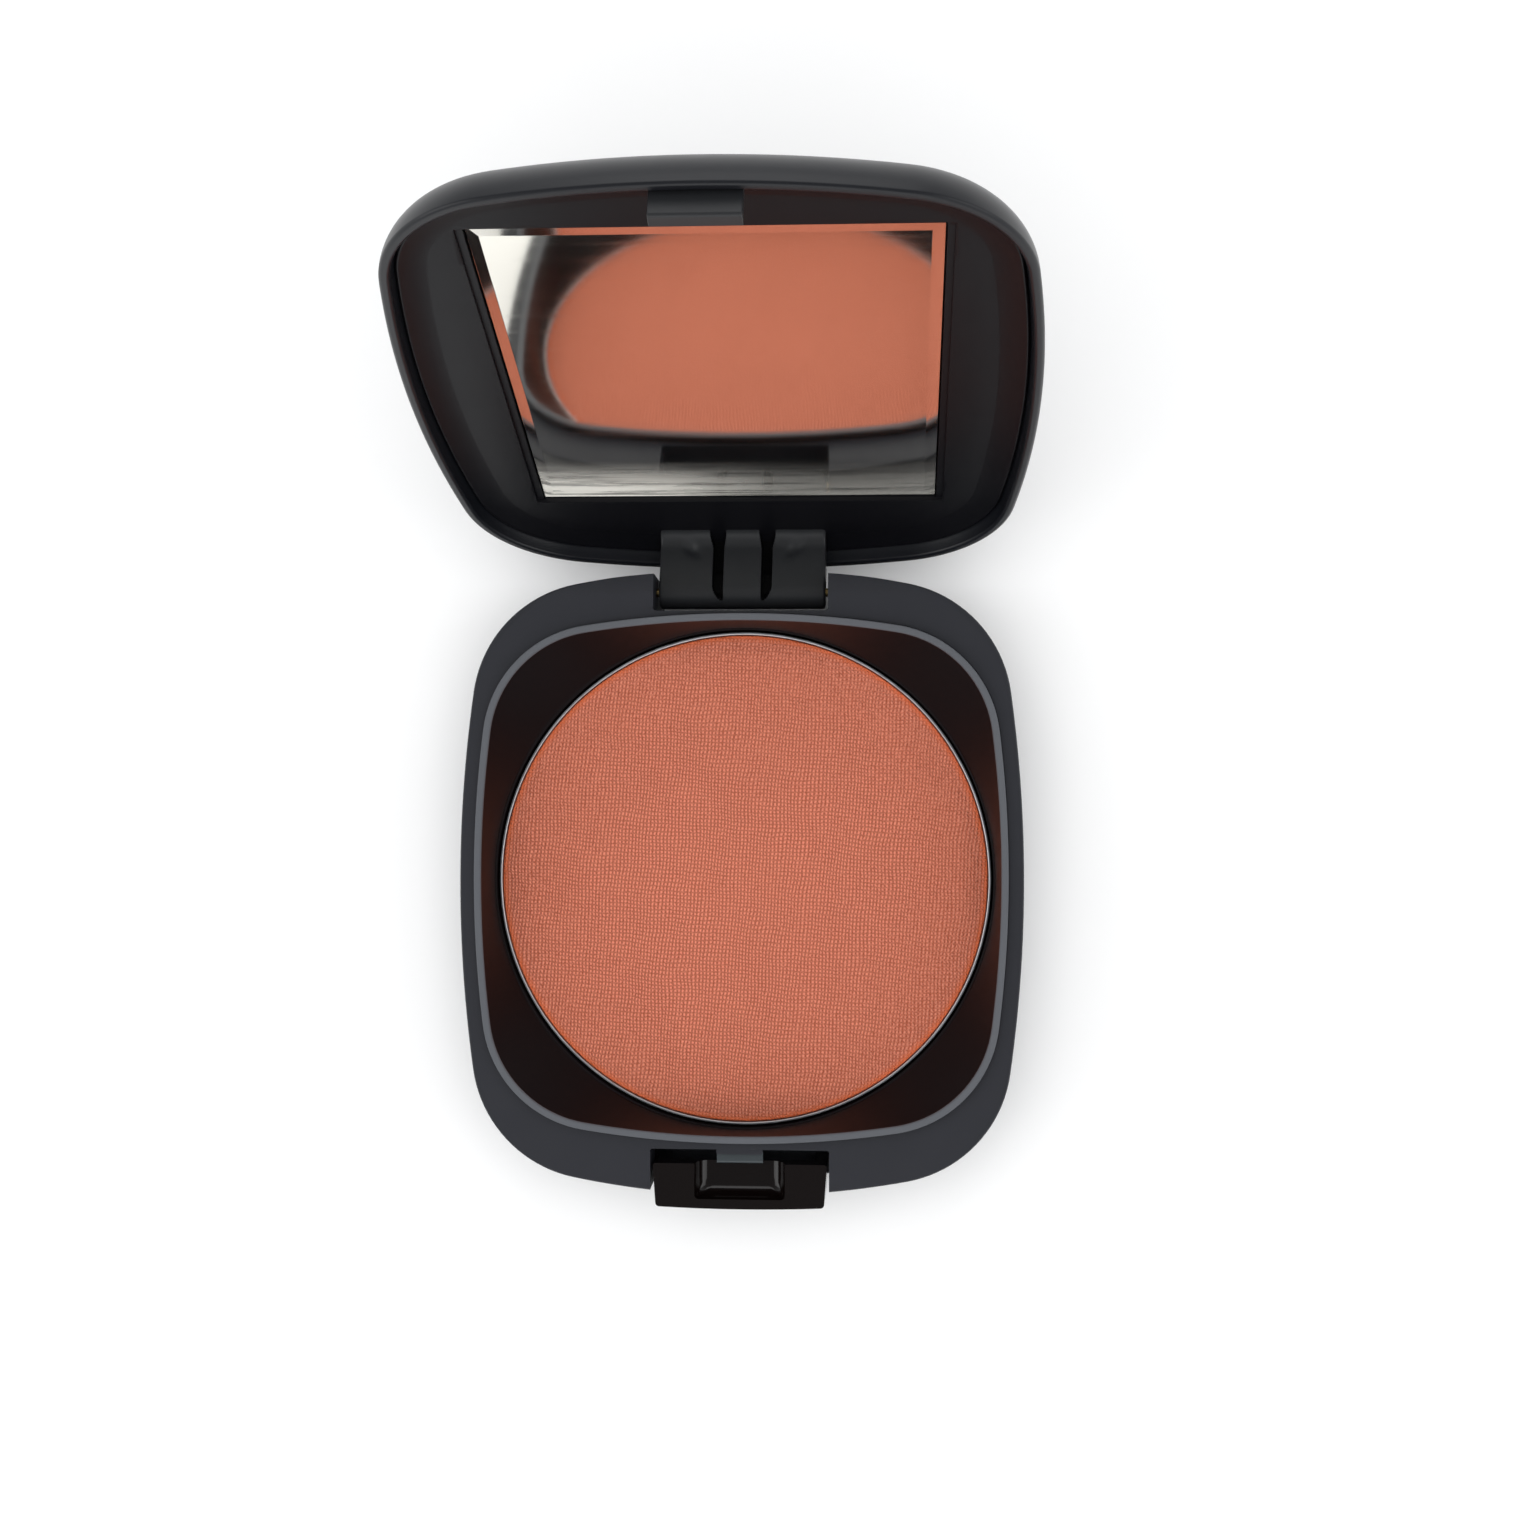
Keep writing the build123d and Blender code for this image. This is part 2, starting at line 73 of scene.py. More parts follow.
Ring = np.ndarray
Path2 = list[tuple[float, float]]


# ---------------------------------------------------------------- curves


@dataclass(frozen=True)
class Outline:
    """A soft rectangle: bowed sides and ends joined by round corners.

    Attributes:
        half_width: Half its size along X.
        half_depth: Half its size along Y.
        side_radius: Radius of the two bowed sides.
        end_radius: Radius of the two bowed ends.
        corner_radius: Radius of the four corners.
        centre_y: Where its centre lies along Y.
    """

    half_width: float
    half_depth: float
    side_radius: float
    end_radius: float
    corner_radius: float
    centre_y: float = 0.0

    SIDE_STEPS = 26
    CORNER_STEPS = 20
    END_STEPS = 30

    def _corner(self) -> tuple[float, float]:
        """Finds the centre of the corner arc at +X +Y, before the shift along Y.

        Returns:
            Its X and Y.
        """
        side_x = self.half_width - self.side_radius
        end_y = self.half_depth - self.end_radius
        side_reach = self.side_radius - self.corner_radius
        end_reach = self.end_radius - self.corner_radius
        span = math.hypot(side_x, end_y)
        along = (side_reach**2 - end_reach**2 + span**2) / (2 * span)
        across = math.sqrt(side_reach**2 - along**2)
        ux, uy = -side_x / span, end_y / span
        return side_x + along * ux - across * uy, along * uy + across * ux

    def ring(self, inset: float = 0.0) -> Ring:
        """Points round the outline, anticlockwise from the start of the right side.

        Args:
            inset: Distance to draw the outline inside its full size.

        Returns:
            An array of X and Y. Rings of any inset match point for point.
        """
        cx, cy = self._corner()
        side_x = self.half_width - self.side_radius
        end_y = self.half_depth - self.end_radius
        side_turn = math.atan2(cy, cx - side_x)
        end_turn = math.atan2(cy - end_y, cx)
        quarter = math.pi / 2
        corner = self.corner_radius - inset
        side = self.side_radius - inset
        end = self.end_radius - inset
        arcs = (
            (side_x, 0, side, -side_turn, side_turn, self.SIDE_STEPS),
            (cx, cy, corner, side_turn, end_turn, self.CORNER_STEPS),
            (0, end_y, end, end_turn, 2 * quarter - end_turn, self.END_STEPS),
            (-cx, cy, corner, 2 * quarter - end_turn, 2 * quarter - side_turn, self.CORNER_STEPS),
            (-side_x, 0, side, 2 * quarter - side_turn, 2 * quarter + side_turn, self.SIDE_STEPS),
            (-cx, -cy, corner, 2 * quarter + side_turn, 2 * quarter + end_turn, self.CORNER_STEPS),
            (0, -end_y, end, 2 * quarter + end_turn, 4 * quarter - end_turn, self.END_STEPS),
            (cx, -cy, corner, 4 * quarter - end_turn, 4 * quarter - side_turn, self.CORNER_STEPS),
        )
        points = []
        for x, y, radius, start, stop, steps in arcs:
            turn = start + (stop - start) * np.arange(steps) / steps
            points.append(np.stack([x + radius * np.cos(turn), y + radius * np.sin(turn)], 1))
        loop = np.concatenate(points)
        loop[:, 1] += self.centre_y
        return loop

    def circle(self, radius: float) -> Ring:
        """A circle about the origin whose points match the outline's, ray by ray."""
        loop = self.ring()
        return radius * loop / np.linalg.norm(loop, axis=1)[:, None]

    def rectangle(self, half_width: float, half_height: float, centre_y: float) -> Ring:
        """A sharp rectangle whose points match the outline's, with a point at each corner.

        Args:
            half_width: Half its size along X.
            half_height: Half its size along Y.
            centre_y: Where its centre lies along Y.

        Returns:
            An array of X and Y, point for point with the outline's rings.
        """
        share = 0.62
        half_corner = self.CORNER_STEPS // 2
        right = np.linspace(-share, share, self.SIDE_STEPS, endpoint=False)
        rise = np.linspace(share, 1, half_corner, endpoint=False)
        fall = np.linspace(1, share, half_corner, endpoint=False)
        top = np.linspace(share, -share, self.END_STEPS, endpoint=False)
        one_r, one_c, one_t = np.ones_like(right), np.ones_like(rise), np.ones_like(top)
        xs = [one_r, one_c, fall, top, -rise, -one_c, -one_r, -one_c, -fall, -top, rise, one_c]
        ys = [right, rise, one_c, one_t, one_c, fall, -right, -rise, -one_c, -one_t, -one_c, -fall]
        loop = np.stack([np.concatenate(xs) * half_width, np.concatenate(ys) * half_height], 1)
        loop[:, 1] += centre_y
        return loop


def soften_path(points: Sequence[tuple[float, ...]], steps: int = 6, closed: bool = False) -> Path2:
    """Rounds the corners of a line.

    Args:
        points: Corners as (x, y) or (x, y, radius).
        steps: Segments in each rounded corner.
        closed: Whether the last point joins the first.

    Returns:
        The rounded line's points.
    """
    count = len(points)
    line: Path2 = []
    for i, point in enumerate(points):
        radius = point[2] if len(point) > 2 else 0.0
        here = np.array(point[:2], float)
        if radius <= 0 or (not closed and i in (0, count - 1)):
            line.append((float(here[0]), float(here[1])))
            continue
        back = np.array(points[i - 1][:2], float) - here
        ahead = np.array(points[(i + 1) % count][:2], float) - here
        back /= np.linalg.norm(back)
        ahead /= np.linalg.norm(ahead)
        half = math.acos(max(-1.0, min(1.0, float(back @ ahead)))) / 2
        reach = radius / math.tan(half)
        middle = back + ahead
        centre = here + middle / np.linalg.norm(middle) * radius / math.sin(half)
        start, stop = here + back * reach - centre, here + ahead * reach - centre
        sweep = math.pi - 2 * half
        for k in range(steps + 1):
            t = k / steps
            a, b = math.sin((1 - t) * sweep), math.sin(t * sweep)
            spot = centre + (start * a + stop * b) / math.sin(sweep)
            line.append((float(spot[0]), float(spot[1])))
    return line


def arc(cx: float, cy: float, radius: float, start: float, stop: float, steps: int) -> Path2:
    """Points along an arc, both ends included, with its angles in degrees."""
    turns = [math.radians(start + (stop - start) * k / steps) for k in range(steps + 1)]
    return [(cx + radius * math.cos(t), cy + radius * math.sin(t)) for t in turns]


def at_height(loop: Ring, z: float) -> Ring:
    """A flat ring lifted to height z."""
    return np.column_stack([loop, np.full(len(loop), z)])


def smooth(t: np.ndarray | float) -> np.ndarray:
    """Smooth step from 0 to 1."""
    t = np.clip(t, 0.0, 1.0)
    return t * t * (3 - 2 * t)


# ---------------------------------------------------------------- meshes


class Solid:
    """Points and faces of a piece while it is being made, in millimetres."""

    def __init__(self) -> None:
        """Starts empty."""
        self.points: list[Sequence[float]] = []
        self.faces: list[tuple[int, ...]] = []

    def rings(self, rings: Sequence[Ring], caps: bool = True, loop: bool = False) -> "Solid":
        """Skins a stack of matching rings.

        Args:
            rings: Arrays of X, Y and Z with the same number of points.
            caps: Whether the first and last ring are closed with a face.
            loop: Whether the last ring joins the first.

        Returns:
            This solid.
        """
        base = len(self.points)
        size = len(rings[0])
        for ring in rings:
            self.points.extend(map(tuple, ring))
        last = len(rings) if loop else len(rings) - 1
        for k in range(last):
            low = base + k * size
            high = base + (k + 1) % len(rings) * size
            for i in range(size):
                j = (i + 1) % size
                self.faces.append((low + i, low + j, high + j, high + i))
        if caps and not loop:
            self.faces.append(tuple(range(base, base + size)))
            top = base + (len(rings) - 1) * size
            self.faces.append(tuple(range(top, top + size)))
        return self

    def prism(self, outline: Path2, low: float, high: float) -> "Solid":
        """Adds an upright prism over a plan outline."""
        loop = np.array(outline)
        return self.rings([at_height(loop, low), at_height(loop, high)])

    def side_prism(self, outline: Path2, left: float, right: float) -> "Solid":
        """Adds a prism that runs along X over an outline drawn in Y and Z.

        Args:
            outline: Points as (y, z).
            left: X of its first end.
            right: X of its other end.

        Returns:
            This solid.
        """
        loop = np.array(outline)
        rings = [np.column_stack([np.full(len(loop), x), loop]) for x in (left, right)]
        return self.rings(rings)

    def mesh(self, name: str) -> bpy.types.Mesh:
        """Makes the mesh, in metres, with outward normals.

        Args:
            name: Name of the mesh.

        Returns:
            The mesh.
        """
        data = bpy.data.meshes.new(name)
        data.from_pydata([tuple(c * MM for c in p) for p in self.points], [], self.faces)
        work = bmesh.new()
        work.from_mesh(data)
        bmesh.ops.remove_doubles(work, verts=work.verts, dist=SAME_POINT)
        bmesh.ops.recalc_face_normals(work, faces=work.faces)
        work.to_mesh(data)
        work.free()
        return data

    def build(self, name: str) -> bpy.types.Object:
        """Makes an object of the mesh and links it to the scene.

        Args:
            name: Name of the piece.

        Returns:
            The object.
        """
        piece = bpy.data.objects.new(name, self.mesh(name))
        bpy.context.scene.collection.objects.link(piece)
        return piece


def settle(piece: bpy.types.Object) -> bpy.types.Object:
    """Turns a piece's modifiers into plain mesh.

    Args:
        piece: The object that carries them.

    Returns:
        The same object.
    """
    graph = bpy.context.evaluated_depsgraph_get()
    graph.update()
    data = bpy.data.meshes.new_from_object(piece.evaluated_get(graph))
    piece.modifiers.clear()
    piece.data = data
    return piece


def carve(piece: bpy.types.Object, cutters: Iterable[Solid], join: bool = False) -> bpy.types.Object:
    """Cuts solids out of a piece, or joins them to it.

    Args:
        piece: The object that is cut.
        cutters: The solids.
        join: Whether they are added in place of cut away.

    Returns:
        The same object.
    """
    tools = [cutter.build("cutter") for cutter in cutters]
    for tool in tools:
        cut = piece.modifiers.new("cut", "BOOLEAN")
        cut.operation = "UNION" if join else "DIFFERENCE"
        cut.solver = "EXACT"
        cut.object = tool
    settle(piece)
    for tool in tools:
        bpy.data.objects.remove(tool)
    return piece


def bevel(
    piece: bpy.types.Object, width: float, steps: int = 3, angle: float = 45.0
) -> bpy.types.Object:
    """Rounds the sharp edges of a piece.

    Args:
        piece: The object whose edges are rounded.
        width: Width of the rounds in millimetres.
        steps: Faces across each round.
        angle: Edges sharper than this many degrees are rounded.

    Returns:
        The same object.
    """
    edge = piece.modifiers.new("edge", "BEVEL")
    edge.width = width * MM
    edge.segments = steps
    edge.limit_method = "ANGLE"
    edge.angle_limit = math.radians(angle)
    edge.use_clamp_overlap = True
    return settle(piece)


def shade(piece: bpy.types.Object, angle: float = SMOOTH_ANGLE) -> bpy.types.Object:
    """Smooths a piece's shading and keeps its flats flat.

    Args:
        piece: The object that is shaded.
        angle: Edges sharper than this stay sharp, in radians.

    Returns:
        The same object.
    """
    data = piece.data
    data.polygons.foreach_set("use_smooth", [True] * len(data.polygons))
    data.set_sharp_from_angle(angle=angle)
    flat = piece.modifiers.new("flats", "WEIGHTED_NORMAL")
    flat.keep_sharp = True
    return piece


# ---------------------------------------------------------------- finishes


class Tree:
    """A short way to write a material's nodes."""

    def __init__(self, name: str) -> None:
        """Starts a material with a principled shader.

        Args:
            name: Name of the material.
        """
        self.material = bpy.data.materials.new(name)
        self.material.use_nodes = True
        self.nodes = self.material.node_tree.nodes
        self.links = self.material.node_tree.links
        self.nodes.clear()
        self.output = self.nodes.new("ShaderNodeOutputMaterial")
        self.shader = self.nodes.new("ShaderNodeBsdfPrincipled")
        self.link(self.shader.outputs[0], self.output.inputs[0])
        self.place = self.nodes.new("ShaderNodeTexCoord").outputs["Object"]

    def link(self, source: bpy.types.NodeSocket, target: bpy.types.NodeSocket) -> None:
        """Joins two sockets."""
        self.links.new(source, target)

    def set(self, **values: float | tuple[float, ...]) -> None:
        """Sets the shader's own sockets, with underscores for spaces in their names."""
        for name, value in values.items():
            self.shader.inputs[name.replace("_", " ")].default_value = value

    def stretch(self, scale: tuple[float, float, float], turn: float = 0.0) -> bpy.types.NodeSocket:
        """Scales the object's coordinates and turns them about Z.

        Args:
            scale: Scale along X, Y and Z.
            turn: Turn about Z in radians.

        Returns:
            The new coordinates.
        """
        node = self.nodes.new("ShaderNodeMapping")
        node.inputs["Scale"].default_value = scale
        node.inputs["Rotation"].default_value = (0, 0, turn)
        self.link(self.place, node.inputs["Vector"])
        return node.outputs[0]

    def noise(
        self,
        scale: float,
        detail: float = 3.0,
        rough: float = 0.5,
        vector: bpy.types.NodeSocket | None = None,
    ) -> bpy.types.NodeSocket:
        """Adds noise from 0 to 1.

        Args:
            scale: Cycles per metre.
            detail: Octaves of finer noise.
            rough: Strength of each finer octave.
            vector: Coordinates in place of the object's own.

        Returns:
            The noise.
        """
        node = self.nodes.new("ShaderNodeTexNoise")
        node.inputs["Scale"].default_value = scale
        node.inputs["Detail"].default_value = detail
        node.inputs["Roughness"].default_value = rough
        self.link(vector or self.place, node.inputs["Vector"])
        return node.outputs["Fac"]

    def math(
        self, operation: str, a: bpy.types.NodeSocket | float, b: bpy.types.NodeSocket | float = 0.0
    ) -> bpy.types.NodeSocket:
        """Adds one step of arithmetic.

        Args:
            operation: What is done, in the shader editor's own word.
            a: First value.
            b: Second value.

        Returns:
            The result.
        """
        node = self.nodes.new("ShaderNodeMath")
        node.operation = operation
        for value, socket in ((a, node.inputs[0]), (b, node.inputs[1])):
            if isinstance(value, (int, float)):
                socket.default_value = value
            else:
                self.link(value, socket)
        return node.outputs[0]

    def span(
        self, value: bpy.types.NodeSocket, low: float, high: float, to_low: float, to_high: float
    ) -> bpy.types.NodeSocket:
        """Maps a range of values to another, held at its ends.

        Args:
            value: What is mapped.
            low: Start of the range.
            high: End of the range.
            to_low: Result at the start.
            to_high: Result at the end.

        Returns:
            The result.
        """
        node = self.nodes.new("ShaderNodeMapRange")
        node.interpolation_type = "SMOOTHSTEP"
        for name, number in (
            ("From Min", low),
            ("From Max", high),
            ("To Min", to_low),
            ("To Max", to_high),
        ):
            node.inputs[name].default_value = number
        self.link(value, node.inputs["Value"])
        return node.outputs["Result"]

    def blend(
        self,
        share: bpy.types.NodeSocket | float,
        a: bpy.types.NodeSocket | tuple[float, ...],
        b: bpy.types.NodeSocket | tuple[float, ...],
    ) -> bpy.types.NodeSocket:
        """Mixes two colours.

        Args:
            share: Share of the second colour.
            a: First colour.
            b: Second colour.

        Returns:
            The mix.
        """
        node = self.nodes.new("ShaderNodeMix")
        node.data_type = "RGBA"
        if isinstance(share, (int, float)):
            node.inputs[0].default_value = share
        else:
            self.link(share, node.inputs[0])
        for value, socket in ((a, node.inputs[6]), (b, node.inputs[7])):
            if isinstance(value, tuple):
                socket.default_value = (*value, 1.0)
            else:
                self.link(value, socket)
        return node.outputs[2]

    def bump(
        self,
        height: bpy.types.NodeSocket,
        depth: float,
        strength: float = 1.0,
        under: bpy.types.NodeSocket | None = None,
    ) -> bpy.types.NodeSocket:
        """Adds a bump.

        Args:
            height: Height from 0 to 1.
            depth: Full height in millimetres.
            strength: Strength of the bump.
            under: Bump that it lies on.

        Returns:
            The surface's normal.
        """
        node = self.nodes.new("ShaderNodeBump")
        node.inputs["Distance"].default_value = depth * MM
        node.inputs["Strength"].default_value = strength
        self.link(height, node.inputs["Height"])
        if under is not None:
            self.link(under, node.inputs["Normal"])
        return node.outputs[0]


@dataclass(frozen=True)
class Plastic:
    """A moulded plastic with a spark-eroded or polished skin.

    Attributes:
        name: Material name.
        colour: Linear base colour.
        drift: How far the colour drifts over the part, as a share.
        roughness: Middle roughness.
        grain: Size of the skin's grain in millimetres.
        grain_depth: Height of the grain in millimetres.
        specular: Specular level.
        coat: Weight of a clear gloss over it.
    """

    name: str
    colour: tuple[float, float, float]
    drift: float = 0.05
    roughness: float = 0.45
    grain: float = 0.12
    grain_depth: float = 0.004
    specular: float = 0.5
    coat: float = 0.0

    def material(self) -> bpy.types.Material:
        """Makes the material.

        Returns:
            The material.
        """
        tree = Tree(self.name)
        cloud = tree.noise(90, 2)
        dark = tuple(c * (1 - self.drift) for c in self.colour)
        light = tuple(c * (1 + self.drift) for c in self.colour)
        tree.link(tree.blend(cloud, dark, light), tree.shader.inputs["Base Color"])
        wipe = tree.noise(260, 4, 0.6)
        spread = tree.span(wipe, 0.3, 0.7, self.roughness * 0.96, self.roughness * 1.04)
        tree.link(spread, tree.shader.inputs["Roughness"])
        grain = tree.noise(1 / (self.grain * MM), 2, 0.6)
        tree.link(tree.bump(grain, self.grain_depth), tree.shader.inputs["Normal"])
        tree.set(Specular_IOR_Level=self.specular, Coat_Weight=self.coat, Coat_Roughness=0.08)
        return tree.material


@dataclass(frozen=True)
class TwoTonePlastic:
    """The tray's plastic: a slate lip above a brown-black dish.

    Attributes:
        name: Material name.
        lip_colour: Linear colour of the lip.
        dish_colour: Linear colour of the dish.
        change_height: Height above the underside at which the colour changes, in millimetres.
        lip_roughness: Roughness of the lip.
        dish_roughness: Roughness of the dish.
        specular: Specular level.
    """

    name: str
    lip_colour: tuple[float, float, float]
    dish_colour: tuple[float, float, float]
    change_height: float
    lip_roughness: float = 0.42
    dish_roughness: float = 0.42
    specular: float = 0.08

    def material(self) -> bpy.types.Material:
        """Makes the material.

        Returns:
            The material.
        """
        tree = Tree(self.name)
        split = tree.nodes.new("ShaderNodeSeparateXYZ")
        tree.link(tree.place, split.inputs[0])
        edge = self.change_height * MM
        share = tree.span(split.outputs["Z"], edge - 0.02 * MM, edge + 0.02 * MM, 0, 1)
        cloud = tree.noise(120, 3)
        dish, lip = (
            tree.blend(cloud, tuple(c * (1 - drift) for c in tone), tuple(c * (1 + drift) for c in tone))
            for tone, drift in ((self.dish_colour, 0.12), (self.lip_colour, 0.06))
        )
        tree.link(tree.blend(share, dish, lip), tree.shader.inputs["Base Color"])
        rough = tree.span(share, 0, 1, self.dish_roughness, self.lip_roughness)
        tree.link(rough, tree.shader.inputs["Roughness"])
        grain = tree.noise(9000, 2, 0.6)
        tree.link(tree.bump(grain, 0.002), tree.shader.inputs["Normal"])
        tree.set(Specular_IOR_Level=self.specular)
        return tree.material


@dataclass(frozen=True)
class Powder:
    """Pressed powder with a cloth's weave printed in it.

    Attributes:
        name: Material name.
        low: Linear colour in the weave's hollows, darker as painted shade.
        high: Linear colour on its tops, lighter as painted light.
        edge: Linear colour where the powder meets the pan: painted shade from the pan's wall and painted
            orange bounce light.
        radius: Radius of the cake in millimetres.
        pitch: Distance between threads in millimetres.
        turn: How far the weave is turned, in degrees.
        depth: Height of the print in millimetres.
    """

    name: str
    low: tuple[float, float, float]
    high: tuple[float, float, float]
    edge: tuple[float, float, float]
    radius: float
    pitch: float = 0.42
    turn: float = 4.0
    depth: float = 0.07

    def material(self) -> bpy.types.Material:
        """Makes the material.

        Returns:
            The material.
        """
        tree = Tree(self.name)
        turn = math.radians(self.turn)
        wander = tree.noise(140, 3)
        cloth = tree.stretch((1 / (self.pitch * MM),) * 3, turn)
        split = tree.nodes.new("ShaderNodeSeparateXYZ")
        tree.link(cloth, split.inputs[0])
        shift = tree.math("MULTIPLY", wander, 3.0)
        along = tree.math("ADD", split.outputs["X"], shift)
        across = tree.math("ADD", split.outputs["Y"], shift)
        warp = tree.math("SINE", tree.math("MULTIPLY", along, 2 * math.pi))
        weft = tree.math("SINE", tree.math("MULTIPLY", across, 2 * math.pi * 0.9))
        columns = tree.math("MULTIPLY", warp, 0.62)
        knots = tree.math("MULTIPLY", tree.math("MULTIPLY", warp, weft), 0.55)
        rows = tree.math("MULTIPLY", weft, 0.35)
        weave = tree.math("ADD", tree.math("ADD", columns, knots), rows)
        crumb = tree.noise(5200, 4, 0.75)
        dust = tree.noise(11000, 2, 0.6)
        # Colour follows the height of the weave and the crumbs: painted shade in the hollows, painted
        # light on the tops.
        relief_for_painted_shade = tree.math("ADD", tree.math("MULTIPLY", weave, 0.36), tree.math("MULTIPLY", crumb, 1.5))
        share = tree.span(relief_for_painted_shade, 0.32, 1.2, 0, 1)
        body = tree.blend(share, self.low, self.high)
        cloud = tree.span(tree.noise(55, 3), 0.35, 0.7, 0, 0.35)
        dull = tree.blend(share, self.low, tuple(c * 0.9 for c in self.high))
        body = tree.blend(cloud, body, dull)
        reach = tree.nodes.new("ShaderNodeVectorMath")
        reach.operation = "LENGTH"
        flat = tree.nodes.new("ShaderNodeVectorMath")
        flat.operation = "MULTIPLY"
        flat.inputs[1].default_value = (1, 1, 0)
        tree.link(tree.place, flat.inputs[0])
        tree.link(flat.outputs[0], reach.inputs[0])
        # Towards the pan's wall the colour turns to the edge colour: painted shade and painted orange
        # bounce light.
        rim = tree.span(reach.outputs["Value"], (self.radius - 1.1) * MM, self.radius * MM, 0, 0.85)
        body = tree.blend(rim, body, self.edge)
        fleck = tree.span(dust, 0.68, 0.78, 0, 0.55)
        body = tree.blend(fleck, body, (0.92, 0.52, 0.45))
        tree.link(body, tree.shader.inputs["Base Color"])
        shine = tree.span(dust, 0.6, 0.75, 0.72, 0.42)
        tree.link(shine, tree.shader.inputs["Roughness"])
        print_depth = tree.bump(weave, self.depth)
        tree.link(tree.bump(crumb, self.depth * 1.6, 0.8, print_depth), tree.shader.inputs["Normal"])
        tree.set(Sheen_Weight=0.03, Sheen_Roughness=0.4, Specular_IOR_Level=0.25)
        return tree.material


@dataclass(frozen=True)
class Metal:
    """A drawn or polished metal.

    Attributes:
        name: Material name.
        colour: Linear colour.
        roughness: Middle roughness.
        streak: Scale of the drawing marks along X, Y and Z, in cycles per metre.
    """

    name: str
    colour: tuple[float, float, float]
    roughness: float = 0.28
    streak: tuple[float, float, float] = (700.0, 700.0, 5000.0)

    def material(self) -> bpy.types.Material:
        """Makes the material.

        Returns:
            The material.
        """
        tree = Tree(self.name)
        marks = tree.noise(1, 4, 0.65, tree.stretch(self.streak))
        dull = tuple(c * 0.82 for c in self.colour)
        tree.link(tree.blend(marks, dull, self.colour), tree.shader.inputs["Base Color"])
        rough = tree.span(marks, 0.3, 0.7, self.roughness * 0.75, self.roughness * 1.25)
        tree.link(rough, tree.shader.inputs["Roughness"])
        tree.link(tree.bump(marks, 0.002), tree.shader.inputs["Normal"])
        tree.set(Metallic=1.0)
        return tree.material


@dataclass(frozen=True)
class Mirror:
    """Silvered glass with faint wipe marks.

    Attributes:
        name: Material name.
        colour: Linear colour of the silvering.
        roughness: Roughness where the glass is clean.
        haze: Roughness where it is wiped.
        haze_heights: Heights in millimetres between which the wipe marks fade out upwards.
        haze_sides: Places along X in millimetres between which they grow fainter.
        dust: How far the wipe marks dull the silver.
    """

    name: str
    colour: tuple[float, float, float] = (0.97, 0.945, 0.865)
    roughness: float = 0.06
    haze: float = 0.5
    haze_heights: tuple[float, float] = (15.5, 23.5)
    haze_sides: tuple[float, float] = (-16.0, 8.0)
    dust: float = 1.0

    def material(self) -> bpy.types.Material:
        """Makes the material.

        Returns:
            The material.
        """
        tree = Tree(self.name)
        split = tree.nodes.new("ShaderNodeSeparateXYZ")
        tree.link(tree.place, split.inputs[0])
        wipe = tree.noise(1, 4, 0.65, tree.stretch((45, 900, 900)))
        low, high = (height * MM for height in self.haze_heights)
        near = tree.span(split.outputs["Z"], low, high, 1, 0)
        left, right = (side * MM for side in self.haze_sides)
        aside = tree.span(split.outputs["X"], left, right, 1, 0.25)
        streak = tree.span(wipe, 0.32, 0.55, 0.3, 1)
        smear = tree.math("MULTIPLY", tree.math("MULTIPLY", streak, near), aside)
        dim = tuple(c * 0.97 for c in self.colour)
        tree.link(tree.blend(wipe, dim, self.colour), tree.shader.inputs["Base Color"])
        clean = tree.span(wipe, 0.4, 0.8, self.roughness, self.roughness * 1.5)
        spread = tree.math("MULTIPLY", smear, self.haze)
        tree.link(tree.math("MAXIMUM", clean, spread), tree.shader.inputs["Roughness"])
        dusty = tree.math("MULTIPLY", smear, self.dust)
        tree.link(tree.math("SUBTRACT", 1.0, dusty), tree.shader.inputs["Metallic"])
        return tree.material


@dataclass(frozen=True)
class Sheet:
    """Paper or an adhesive film.

    Attributes:
        name: Material name.
        colour: Linear colour.
        roughness: Middle roughness.
        fibre: Size of its fibres in millimetres.
    """

    name: str
    colour: tuple[float, float, float]
    roughness: float = 0.6
    fibre: float = 0.3

    def material(self) -> bpy.types.Material:
        """Makes the material.

        Returns:
            The material.
        """
        tree = Tree(self.name)
        fibres = tree.noise(1 / (self.fibre * MM), 5, 0.7, tree.stretch((1.0, 2.4, 1.0), 0.5))
        dull = tuple(c * 0.93 for c in self.colour)
        tree.link(tree.blend(fibres, dull, self.colour), tree.shader.inputs["Base Color"])
        rough = tree.span(fibres, 0.3, 0.7, self.roughness * 0.9, self.roughness)
        tree.link(rough, tree.shader.inputs["Roughness"])
        tree.link(tree.bump(fibres, 0.01), tree.shader.inputs["Normal"])
        return tree.material


